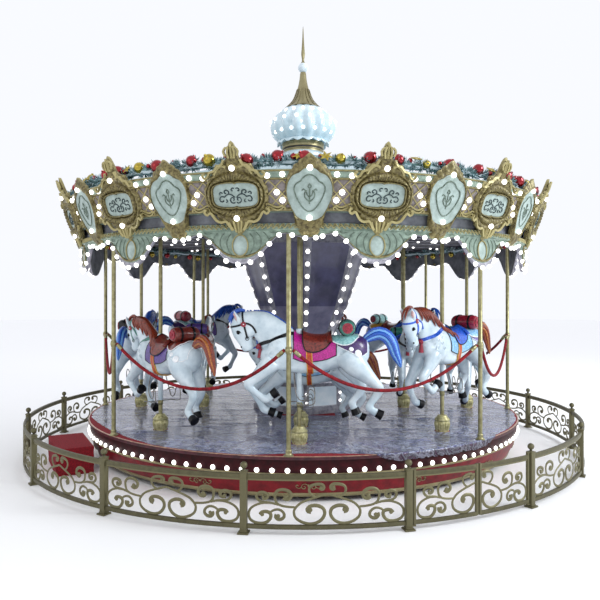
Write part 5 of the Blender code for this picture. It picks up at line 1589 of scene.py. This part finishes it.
LEGS = (
    (
        (0.26, 0.08, 0.77, 0.098), (0.34, 0.088, 0.69, 0.078), (0.43, 0.095, 0.605, 0.054), (0.5, 0.1, 0.545, 0.048),
        (0.462, 0.1, 0.49, 0.036), (0.385, 0.1, 0.43, 0.031), (0.33, 0.1, 0.395, 0.04), (0.3, 0.1, 0.408, 0.035),
        (0.262, 0.1, 0.437, 0.04)
    ),
    (
        (0.26, -0.08, 0.75, 0.095), (0.35, -0.088, 0.63, 0.073), (0.425, -0.095, 0.535, 0.054),
        (0.47, -0.1, 0.468, 0.047), (0.445, -0.1, 0.4, 0.035), (0.4, -0.1, 0.325, 0.031), (0.366, -0.1, 0.27, 0.039),
        (0.338, -0.1, 0.25, 0.035), (0.305, -0.1, 0.243, 0.04)
    ),
    (
        (-0.46, 0.075, 0.86, 0.125), (-0.54, 0.088, 0.75, 0.12), (-0.645, 0.095, 0.645, 0.082),
        (-0.735, 0.1, 0.56, 0.056), (-0.785, 0.1, 0.5, 0.048), (-0.757, 0.1, 0.43, 0.038), (-0.705, 0.1, 0.36, 0.033),
        (-0.69, 0.1, 0.318, 0.039), (-0.72, 0.1, 0.288, 0.035), (-0.762, 0.1, 0.264, 0.04)
    ),
    (
        (-0.44, -0.075, 0.83, 0.122), (-0.5, -0.088, 0.71, 0.108), (-0.575, -0.095, 0.595, 0.074),
        (-0.63, -0.1, 0.495, 0.05), (-0.603, -0.1, 0.425, 0.038), (-0.555, -0.1, 0.368, 0.033),
        (-0.532, -0.1, 0.33, 0.039), (-0.543, -0.1, 0.295, 0.035), (-0.558, -0.1, 0.27, 0.04)
    )
)
HOOF_TOES = ((0.212, 0.10, 0.475), (0.250, -0.10, 0.222), (-0.815, 0.10, 0.236), (-0.580, -0.10, 0.213))
MUSCLES = (
    ((0.19, 0.088, 0.84), (0.13, 0.062, 0.17)), ((0.3, 0.05, 0.81), (0.085, 0.062, 0.1)),
    ((-0.5, 0.075, 0.87), (0.165, 0.088, 0.145)), ((0.5, 0.03, 1.08), (0.07, 0.04, 0.078)),
    ((0.628, 0.04, 1.066), (0.03, 0.022, 0.018)), ((0.566, 0.03, 0.905), (0.02, 0.017, 0.024)),
    ((-0.05, 0.055, 0.72), (0.26, 0.085, 0.075))
)


def body_through(rings):
    """A closed body through rings of points."""
    bm = bmesh.new()
    loops = [[bm.verts.new(place) for place in ring] for ring in rings]
    for near, far in zip(loops, loops[1:]):
        for i in range(len(near)):
            bm.faces.new((near[i], near[i - 1], far[i - 1], far[i]))
    bm.faces.new(loops[0])
    bm.faces.new(loops[-1])
    return bm


def oval_ring_at(centre, across, upright, sides=18):
    """Points of an oval round a centre, with its two half axes."""
    return [centre + across * math.cos(TURN * i / sides) + upright * math.sin(TURN * i / sides)
            for i in range(sides)]


def limb(stations):
    """A round limb through (forward, side, height, radius) stations."""
    path = smooth_through(stations, 4)
    places = [Vector(station[:3]) for station in path]
    rings = []
    for i, station in enumerate(path):
        heading = (places[min(i + 1, len(path) - 1)] - places[max(i - 1, 0)]).normalized()
        across = (Vector((0.0, 1.0, 0.0)) - heading * heading.y).normalized()
        rings.append(oval_ring_at(places[i], across * station[3] * 0.92, heading.cross(across) * station[3] * 1.06))
    return body_through(rings)


lumps = [body_through([oval_ring_at(Vector((x, 0.0, (top + bottom) / 2)), Vector((0.0, side, 0.0)),
                                    Vector((0.0, 0.0, (top - bottom) / 2)), 24)
                       for x, top, bottom, side in smooth_through(TRUNK, 4)])]
neck_rings = []
for x, z, heading, depth, side in smooth_through(NECK, 4):
    way = math.radians(heading)
    neck_rings.append(oval_ring_at(Vector((x, 0.0, z)), Vector((0.0, side, 0.0)),
                                   Vector((-math.sin(way), 0.0, math.cos(way))) * depth, 24))
lumps.append(body_through(neck_rings))
lumps += [limb(stations) for stations in LEGS]
for centre, radii in MUSCLES:
    for side in (1, -1):
        muscle = bmesh.new()
        bmesh.ops.create_uvsphere(muscle, u_segments=20, v_segments=12, radius=1.0)
        for vert in muscle.verts:
            vert.co = Vector((centre[i] + radii[i] * vert.co[i]) * (side if i == 1 else 1) for i in range(3))
        lumps.append(muscle)
shell_mesh = bpy.data.meshes.new("horse_shell")
shell_lumps = joined(lumps)
bmesh.ops.recalc_face_normals(shell_lumps, faces=shell_lumps.faces[:])
shell_lumps.to_mesh(shell_mesh)
shell_lumps.free()
shell = bpy.data.objects.new("horse_shell", shell_mesh)
bpy.context.scene.collection.objects.link(shell)
skin = shell.modifiers.new("one_skin", "REMESH")
skin.mode = "VOXEL"
skin.voxel_size = 0.008
ease = shell.modifiers.new("eased_joints", "SMOOTH")
ease.factor = 0.5
ease.iterations = 9
fewer = shell.modifiers.new("fewer_faces", "DECIMATE")
fewer.ratio = 0.068
shell_skin = bpy.data.meshes.new_from_object(shell.evaluated_get(bpy.context.evaluated_depsgraph_get()))
bpy.data.objects.remove(shell)
skin_tree = bmesh.new()
skin_tree.from_mesh(shell_skin)
surface = BVHTree.FromBMesh(skin_tree)
skin_tree.free()


def on_skin(place, lift=0.0):
    """The nearest point of the shell, raised by a lift, and the shell's direction outward there."""
    near, way, _, _ = surface.find_nearest(Vector(place))
    return near + way * lift, way


def round_horse(points):
    """A line of points that runs on over the horse's other side."""
    return points + [(x, -y, z) for x, y, z in points[-2::-1]]


def strap(points, width, lift=0.005):
    """A flat strap that lies on the shell along a line of points."""
    line = [on_skin(place)[0] for place in smooth_through(points, 3)]
    for _ in range(2):
        line = [line[0], *[(a + b * 2 + c) / 4 for a, b, c in zip(line, line[1:], line[2:])], line[-1]]
    line = [(place, on_skin(place)[1]) for place in line]
    rings = []
    for i, (place, way) in enumerate(line):
        along = (line[min(i + 1, len(line) - 1)][0] - line[max(i - 1, 0)][0]).normalized()
        across = way.cross(along).normalized() * width / 2
        left, right = [max(0.0, (on_skin(edge)[0] - edge).dot(way)) for edge in (place + across, place - across)]
        rings.append([place + across + way * (lift + left), place - across + way * (lift + right),
                      place - across - way * 0.010, place + across - way * 0.010])
    return body_through(rings)


DRAPE_COLUMNS = 12


def drape(edge, lift):
    """A cloth laid over the back, down to an edge of (forward, height) points on both sides, and its rim."""
    bm = bmesh.new()
    nets = []
    for under in (False, True):
        rows = []
        for n, (x, low) in enumerate(edge):
            reach = math.acos(max(-0.999, min(0.999, (low - 0.85) / 0.165)))
            row = []
            for i in range(DRAPE_COLUMNS + 1):
                t = 2.0 * i / DRAPE_COLUMNS - 1.0
                way = Vector((0.0, math.sin(t * reach), math.cos(t * reach)))
                hit = surface.ray_cast(Vector((x, 0.0, 0.85)) + way * 0.45, -way)[0]
                row.append(bm.verts.new(hit + way * (-0.004 if under else lift(n / (len(edge) - 1), abs(t)))))
            rows.append(row)
        nets.append(rows)
    for rows, order in ((nets[0], 1), (nets[1], -1)):
        for near, far in zip(rows, rows[1:]):
            for i in range(DRAPE_COLUMNS):
                bm.faces.new((near[i], near[i + 1], far[i + 1], far[i])[::order])
    rims = [[*rows[0], *[row[-1] for row in rows[1:]], *rows[-1][-2::-1], *[row[0] for row in rows[-2::-1]]]
            for rows in nets]
    for i in range(len(rims[0]) - 1):
        bm.faces.new((rims[0][i], rims[0][i + 1], rims[1][i + 1], rims[1][i]))
    return bm, [vert.co.copy() for vert in rims[0]]


blanket_cloth, blanket_rim = drape(smooth_through((
    (0.055, 0.8), (-0.05, 0.77), (-0.16, 0.775), (-0.27, 0.79), (-0.365, 0.83)
), 3), lambda n, t: 0.007)
saddle_edge = smooth_through((
    (-0.035, 0.965), (-0.06, 0.885), (-0.12, 0.862), (-0.19, 0.87), (-0.26, 0.905), (-0.315, 0.965)
), 3)
saddle_seat, saddle_rim = drape(saddle_edge, lambda n, t: 0.015 + max(0.0, 1.0 - t * 1.3)
                                * (0.045 * (n ** 6) + 0.035 * (1.0 - n) ** 5) + 0.010 * (1.0 - t * t))
crupper_cloth, crupper_rim = drape(smooth_through((
    (-0.375, 0.925), (-0.44, 0.89), (-0.52, 0.855), (-0.59, 0.83), (-0.635, 0.825), (-0.672, 0.86)
), 3), lambda n, t: 0.006)
wing_cloth, wing_rim = drape(smooth_through((
    (-0.3, 0.985), (-0.35, 0.955), (-0.41, 0.93), (-0.47, 0.925), (-0.53, 0.945), (-0.585, 0.995)
), 3), lambda n, t: 0.013)
girth_band = round_horse([
    (-0.1, 0.16, 0.95), (-0.1, 0.17, 0.85), (-0.105, 0.15, 0.74), (-0.11, 0.08, 0.65), (-0.11, 0.0, 0.63)
])
breast = round_horse([
    (0.04, 0.08, 1.06), (0.139, 0.11, 1.035), (0.26, 0.11, 0.985), (0.35, 0.08, 0.945), (0.4, 0.0, 0.925)
])
brow = round_horse([
    (0.427, 0.05, 1.041), (0.455, 0.065, 1.106), (0.52, 0.075, 1.142), (0.56, 0.075, 1.129), (0.63, 0.06, 1.108),
    (0.68, 0.0, 1.1)
])
crown = round_horse([
    (0.512, 0.06, 0.985), (0.53, 0.07, 1.06), (0.548, 0.075, 1.129), (0.562, 0.055, 1.2), (0.565, 0.0, 1.25)
])
chest_curls = []
for x, z, radius in (
    (0.2, 0.96, 0.03), (0.27, 0.93, 0.028), (0.33, 0.89, 0.024), (0.21, 0.89, 0.028), (0.28, 0.85, 0.026),
    (0.17, 0.83, 0.026)
):
    for side in (1, -1):
        curl = [(x + radius * (1 - k / 11) * math.cos(k * 0.75), side * 0.16,
                 z + radius * (1 - k / 11) * math.sin(k * 0.75)) for k in range(10)]
        chest_curls.append([on_skin(place, 0.001)[0] for place in curl])

CREST = smooth_through((
    (-0.02, 1.035), (0.07, 1.085), (0.148, 1.17), (0.241, 1.24), (0.33, 1.262), (0.43, 1.268), (0.52, 1.262)
), 5)


def mane(side):
    """Locks that spring from the crest and fall down one side of the neck, in two layers."""
    locks = []
    for n, (x, z) in enumerate(CREST):
        if n % 2 and n > 26:
            continue
        fall = 0.150 + 0.035 * math.sin(n * 2.1) - 0.05 * (n > 22)
        sway = 0.022 * math.sin(n * 1.3)
        line = [(x, 0.0, z + 0.004), (x - 0.012, side * 0.045, z - 0.02)]
        line += [(x - 0.03 - fall * share * 0.55 + sway * share, side * (0.085 + 0.02 * share),
                  z - 0.045 - fall * share * 0.85) for share in (0.3, 0.65, 1.0)]
        locks.append([on_skin(place, lift / 1000)[0] for place, lift in
                      zip(smooth_through(line, 2), (2, 9, 13, 14, 14, 13, 12, 9, 5))])
    return locks


TAIL_SPINE = smooth_through((
    (-0.64, 0.965), (-0.715, 1.015), (-0.795, 1.04), (-0.875, 1.005), (-0.925, 0.93), (-0.955, 0.84), (-0.99, 0.76),
    (-1.01, 0.7)
), 2)
TAIL_FULLNESS = (0.35, 0.6, 0.85, 1.0, 1.0, 1.0, 0.98, 0.95, 0.9, 0.82, 0.72, 0.6, 0.46, 0.3, 0.12)
TAIL_LOCKS = (
    (-1.0, 0.0), (-0.55, 0.8), (0.05, 1.0), (0.62, 0.75), (1.0, 0.0), (0.62, -0.75), (0.05, -1.0), (-0.55, -0.8),
    (0.0, 0.0)
)


def tail():
    """Locks that lie side by side along the tail's arch and close to a point."""
    locks = [[] for _ in TAIL_LOCKS]
    for n, ((x, z), full) in enumerate(zip(TAIL_SPINE, TAIL_FULLNESS)):
        before, after = TAIL_SPINE[max(n - 1, 0)], TAIL_SPINE[min(n + 1, len(TAIL_SPINE) - 1)]
        along = Vector((after[0] - before[0], 0.0, after[1] - before[1])).normalized()
        up = Vector((-along.z, 0.0, along.x))
        for lock, (across, side) in zip(locks, TAIL_LOCKS):
            lock.append(Vector((x, side * 0.034 * full, z)) - up * across * 0.046 * full)
    return locks


def swelled(paths, width, depth, swell, sides=6):
    """Locks of hair that swell and taper along their length, by shares from root to tip."""
    bodies = []
    for path in paths:
        steps = len(path) - 1
        rings = []
        for i, place in enumerate(path):
            along = (path[min(i + 1, steps)] - path[max(i - 1, 0)]).normalized()
            across = along.orthogonal().normalized() if i == 0 else (across - along * along.dot(across)).normalized()
            share = part_way(swell, i / steps)
            rings.append(oval_ring_at(place, across * width / 2 * share, along.cross(across) * depth / 2 * share,
                                      sides))
        bodies.append(body_through(rings))
    return joined(bodies)


LOCK_SWELL = (0.55, 0.9, 1.0, 1.0, 0.85, 0.6, 0.15)
TAIL_SWELL = (0.6, 0.9, 1.0, 1.0, 1.0, 0.9, 0.75, 0.55, 0.12)
tail_locks = tail()
fore_locks = [[Vector(place) for place in smooth_through(line, 3)] for line in (
    ((0.545, 0.0, 1.262), (0.615, 0.012, 1.262), (0.672, 0.02, 1.215), (0.7, 0.022, 1.14)),
    ((0.545, 0.0, 1.258), (0.61, -0.02, 1.258), (0.668, -0.028, 1.205), (0.69, -0.02, 1.12)),
    ((0.54, 0.0, 1.266), (0.6, 0.0, 1.275), (0.672, -0.004, 1.24), (0.712, 0.0, 1.165))
)]

ears, ear_linings = [], []
for side in (1, -1):
    root, tip = Vector((0.600, side * 0.052, 1.155)), Vector((0.645, side * 0.066, 1.262))
    along = (tip - root).normalized()
    front = Vector((0.75, side * 0.62, -0.2)).normalized()
    across = along.cross(front).normalized()
    ears.append(body_through([oval_ring_at(root + (tip - root) * share, across * width, front * depth, 12)
                              for share, width, depth in (
                                  (-0.25, 0.02, 0.016), (0.1, 0.03, 0.02), (0.35, 0.033, 0.02), (0.65, 0.024, 0.015),
                                  (0.88, 0.01, 0.008), (1.0, 0.002, 0.002)
                              )]))
    ear_linings.append(body_through([oval_ring_at(root + (tip - root) * share + front * 0.014, across * width,
                                                  front * 0.009, 10)
                                     for share, width in ((0.12, 0.01), (0.35, 0.02), (0.6, 0.015), (0.8, 0.004))]))

eyes, eye_rims, nostrils, rosettes, rosette_eyes, bit_rings, spots = [], [], [], [], [], [], []
DISC = ((0.0, -0.2), (1.0, -0.2), (1.0, 0.10), (0.86, 0.24), (0.60, 0.16), (0.45, 0.30), (0.0, 0.36))
for side in (1, -1):
    place, way = on_skin((0.606, side * 0.07, 1.043))
    eyes.append(placed(lathe(((0.0, -0.6), (0.7, -0.5), (1.0, 0.0), (0.75, 0.45), (0.4, 0.65), (0.0, 0.72)), 12),
                       place, way, 0.0185))
    eye_rims.append([on_skin(place + Vector(step), 0.001)[0] for step in
                     ((-0.028, 0, -0.006), (-0.016, 0, 0.016), (0.004, 0, 0.022), (0.022, 0, 0.010))])
    place, way = on_skin((0.584, side * 0.05, 0.902))
    nostrils.append(placed(lathe(DISC, 10), place - way * 0.001, way, 0.0095))
    place, way = on_skin((0.548, side * 0.09, 1.129), 0.005)
    rosettes.append(placed(lathe(DISC, 16), place, way, 0.027))
    rosette_eyes.append(placed(lathe(BULB_PROFILE, 8), place + way * 0.007, way, 0.007))
    place, way = on_skin((0.512, side * 0.07, 0.985), 0.006)
    bit_rings.append([place + Vector((0.018 * math.cos(TURN * i / 10), 0.0, 0.018 * math.sin(TURN * i / 10)))
                      for i in range(11)])
    for x, z, radius in ((-0.520, 0.930, 0.023), (-0.628, 0.895, 0.037)):
        place, way = on_skin((x, side * 0.25, z), 0.007)
        spots.append(placed(lathe(((0.0, -0.15), (1.0, -0.15), (1.0, 0.06), (0.9, 0.12), (0.0, 0.15)), 14), place,
                            way, radius))
knot_place, knot_way = on_skin((0.41, 0.0, 0.90), 0.014)
rosettes.append(placed(lathe(((0.0, -0.6), (0.7, -0.5), (1.0, 0.0), (0.8, 0.5), (0.3, 0.8), (0.0, 0.8)), 12),
                       knot_place, knot_way, 0.032))
tassel = placed(lathe(((0.0, 0.0), (0.012, -0.004), (0.020, -0.040), (0.030, -0.105), (0.0, -0.110)), 14),
                knot_place - Vector((0.010, 0.0, 0.010)))

ROLL_MIDDLE = Vector((-0.475, 0.0, 1.094))
SIDEWAYS = (0.0, 1.0, 0.0)
ROLL_PROFILE = (
    (0.0, -0.15), (0.04, -0.152), (0.066, -0.144), (0.076, -0.12), (0.08, -0.06), (0.078, 0.0), (0.08, 0.06),
    (0.076, 0.12), (0.066, 0.144), (0.04, 0.152), (0.0, 0.15)
)
ROLL_END_PROFILE = (
    (0.0, 0.0), (0.052, 0.0), (0.052, 0.01), (0.036, 0.014), (0.034, 0.009), (0.018, 0.009), (0.016, 0.016),
    (0.0, 0.016)
)
roll = placed(lathe(ROLL_PROFILE, 18), ROLL_MIDDLE, SIDEWAYS)
roll_straps = [placed(lathe(((0.074, at), (0.086, at), (0.086, at + 0.022), (0.074, at + 0.022), (0.074, at)), 18),
                      ROLL_MIDDLE, SIDEWAYS) for at in (-0.085, 0.063)]
roll_ends = [placed(lathe(ROLL_END_PROFILE, 16), ROLL_MIDDLE + Vector((0.0, side * 0.149, 0.0)),
                    (0.0, side, 0.0)) for side in (1, -1)]
cantle = [[on_skin((-0.315 + 0.02 * math.cos(a), 0.16 * math.sin(a), 0.87 + 0.16 * math.cos(a)), 0.032)[0]
           for a in (math.radians(d) for d in range(-56, 57, 8))]]

hooves = []
for stations, toe in zip(LEGS, HOOF_TOES):
    root, way = Vector(stations[-1][:3]), Vector(toe) - Vector(stations[-1][:3])
    hooves.append(placed(lathe((
        (0.0, -0.006), (0.041, -0.006), (0.044, 0.0), (0.046, 0.03), (0.051, 0.056), (0.046, 0.06), (0.0, 0.057)
    ), 16), root, way))

footrest = []
for side in (1, -1):
    for line in (((-0.010, side * 0.02, 0.345), (-0.010, side * 0.12, 0.345), (-0.05, side * 0.15, 0.345),
                  (-0.13, side * 0.155, 0.350), (-0.155, side * 0.155, 0.38), (-0.150, side * 0.155, 0.47),
                  (-0.115, side * 0.15, 0.50), (-0.085, side * 0.14, 0.47), (-0.080, side * 0.135, 0.42),
                  (-0.045, side * 0.13, 0.385), (0.0, side * 0.13, 0.40), (0.030, side * 0.13, 0.46),
                  (0.045, side * 0.11, 0.56), (0.05, side * 0.08, 0.665)),
                 ((0.0, side * 0.02, 0.345), (0.03, side * 0.10, 0.340), (0.12, side * 0.13, 0.335))):
        footrest.append([Vector(place) for place in smooth_through(line, 2)])

masters = {
    "blanket": blanket_cloth, "saddle": saddle_seat, "crupper": crupper_cloth, "wings": wing_cloth,
    "blanket_edge": bars([blanket_rim], 0.010, 0.007, tack_black),
    "saddle_edge": bars([saddle_rim], 0.013, 0.009, tack_black),
    "wing_edge": joined([bars([wing_rim], 0.013, 0.010, white_spot), bars([crupper_rim], 0.007, 0.006, white_spot)]),
    "girth": strap(girth_band, 0.055, 0.012),
    "girth_edges": joined([strap([(x + dx, y, z) for x, y, z in girth_band], 0.009, 0.014)
                           for dx in (-0.026, 0.026)]),
    "straps": joined([strap(breast, 0.036), strap(brow, 0.019), strap(crown, 0.019)]),
    "curls": bars(chest_curls, 0.010, 0.008, gelcoat),
    "cantle": bars(cantle, 0.052, 0.044, tan, 8),
    "mane_left": swelled(mane(1), 0.030, 0.024, LOCK_SWELL),
    "mane_right": swelled(mane(-1), 0.030, 0.024, LOCK_SWELL),
    "tail": swelled(tail_locks[::2], 0.042, 0.042, TAIL_SWELL, 7),
    "tail_stripes": swelled(tail_locks[1::2], 0.030, 0.030, TAIL_SWELL, 7),
    "forelock": swelled(fore_locks, 0.034, 0.026, LOCK_SWELL),
    "ears": joined(ears), "ear_linings": joined(ear_linings), "eyes": joined(eyes),
    "eye_rims": bars(eye_rims + bit_rings, 0.007, 0.006, tack_black, 4),
    "nostrils": joined(nostrils), "rosettes": joined(rosettes), "rosette_eyes": joined(rosette_eyes),
    "spots": joined(spots), "tassel": tassel, "roll": roll, "roll_straps": joined(roll_straps),
    "roll_ends": joined(roll_ends), "hooves": joined(hooves),
    "footrest": bars(footrest, 0.011, 0.011, footrest_steel, 6),
}
masters = {part: as_mesh(shape, part) for part, shape in masters.items()}
masters["shell"] = shell_skin


def horse_piece(name, parts, place, body, stands_for=()):
    """One horse's copy of some master parts, each with its own finish."""
    whole = bmesh.new()
    finishes = []
    for part, finish in parts:
        first = len(whole.faces)
        whole.from_mesh(masters[part])
        whole.faces.ensure_lookup_table()
        if finish not in finishes:
            finishes.append(finish)
        for face in whole.faces[first:]:
            face.material_index = finishes.index(finish)
            face.smooth = True
    bmesh.ops.transform(whole, matrix=place, verts=whole.verts[:])
    mesh = bpy.data.meshes.new(name)
    whole.to_mesh(mesh)
    whole.free()
    return add_piece(name, mesh, finishes, stands_for, 48.0, body)


# Each horse's rise at rest, side of its mane, and paint of hair, hair lights, blanket, saddle, crupper,
# straps, wings and blanket roll.
OUTER_RISE = (0.060, 0.085, -0.100, 0.030, -0.060, 0.090, 0.010, -0.025)
INNER_RISE = (-0.090, 0.020, 0.070, 0.100)
LIVERIES = (
    ("right", blue_hair, pale_hair, magenta, tan, purple, tack_black, teal, green),
    ("left", chestnut, amber, sky, royal, violet, royal, sky, crimson),
    ("left", chestnut, amber, violet, tan, purple, tack_black, sky, green),
    ("right", blue_hair, pale_hair, crimson, tan, royal, tack_black, yellow, teal),
    ("left", chestnut, amber, magenta, tan, green, tack_black, teal, violet),
    ("right", blue_hair, pale_hair, violet, royal, purple, tack_black, teal, crimson),
    ("right", blue_hair, pale_hair, royal, tan, purple, tack_black, sky, tack_black),
    ("left", chestnut, amber, violet, tan, gelcoat, green, tan, tan),
    ("right", chestnut, amber, sky, tan, royal, royal, sky, royal),
    ("left", blue_hair, pale_hair, magenta, royal, purple, tack_black, teal, green),
    ("right", chestnut, amber, green, tan, violet, tack_black, yellow, crimson),
    ("left", chestnut, amber, crimson, tan, purple, tack_black, teal, violet),
)
INNER_SIZE = 0.88
for size in (1.0, INNER_SIZE):
    pole_parts = {
        "pole": lathe(((0.0, 1.02 * size), (0.0218, 1.02 * size), (0.0218, 2.398), (0.0, 2.398)), 18),
        "sleeve": joined([
            lathe(((0.0, 1.035 * size), (0.034, 1.035 * size), (0.036, 1.050 * size), (0.033, 1.075 * size),
                   (0.026, 1.085 * size), (0.0, 1.085 * size)), 18),
            lathe(((0.0, 0.352), (0.024, 0.352), (0.027, 0.358), (0.027, 0.67 * size), (0.0, 0.67 * size)), 18)]),
        "pin": lathe(((0.0, -0.249), (0.0205, -0.249), (0.0218, -0.245), (0.0218, 0.30), (0.027, 0.304),
                      (0.029, 0.33), (0.027, 0.352), (0.0, 0.354)), 18)}
    for part, shape in pole_parts.items():
        masters[f"{part}_{size}"] = as_mesh(shape, part)
names = [f"outer_horse_{n}" for n in range(1, 9)] + [f"inner_horse_{n}" for n in range(1, 5)]
for body, (circle, angle), rise, livery in zip(names, horse_places, OUTER_RISE + INNER_RISE, LIVERIES):
    mane_side, hair, lights, blanket, saddle, crupper, straps, wings, bundle = livery
    size = 1.0 if circle == OUTER_CIRCLE else INNER_SIZE
    stand = (Matrix.Translation(on_circle(circle, angle, PLATFORM_TOP + rise))
             @ Matrix.Rotation(angle + math.pi, 4, "Z"))
    place = stand @ Matrix.Scale(size, 4)
    horse_piece(body + "_shell", (("shell", gelcoat), ("ears", gelcoat), ("curls", gelcoat),
                                  ("ear_linings", rosy), ("hooves", hoof_black), ("nostrils", hoof_black),
                                  ("eyes", hoof_black), ("eye_rims", tack_black)), place, body, (body,))
    horse_piece(body + "_hair", (("mane_" + mane_side, hair), ("tail", hair), ("tail_stripes", lights),
                                 ("forelock", hair)), place, body)
    horse_piece(body + "_tack", (("blanket", blanket), ("blanket_edge", tack_black), ("saddle", saddle),
                                 ("saddle_edge", tack_black), ("cantle", saddle), ("crupper", crupper),
                                 ("wings", wings), ("wing_edge", white_spot), ("spots", white_spot),
                                 ("girth", orange), ("girth_edges", yellow), ("straps", straps),
                                 ("rosettes", crimson), ("rosette_eyes", white_spot), ("tassel", crimson),
                                 ("roll", bundle), ("roll_straps", tack_black), ("roll_ends", crimson)),
                place, body)
    horse_piece(body + "_pole", ((f"pole_{size}", brass), (f"sleeve_{size}", gelcoat),
                                 (f"pin_{size}", brass)), stand, body)
    horse_piece(body + "_footrest", (("footrest", footrest_steel),), place, body)
for mesh in masters.values():
    bpy.data.meshes.remove(mesh)
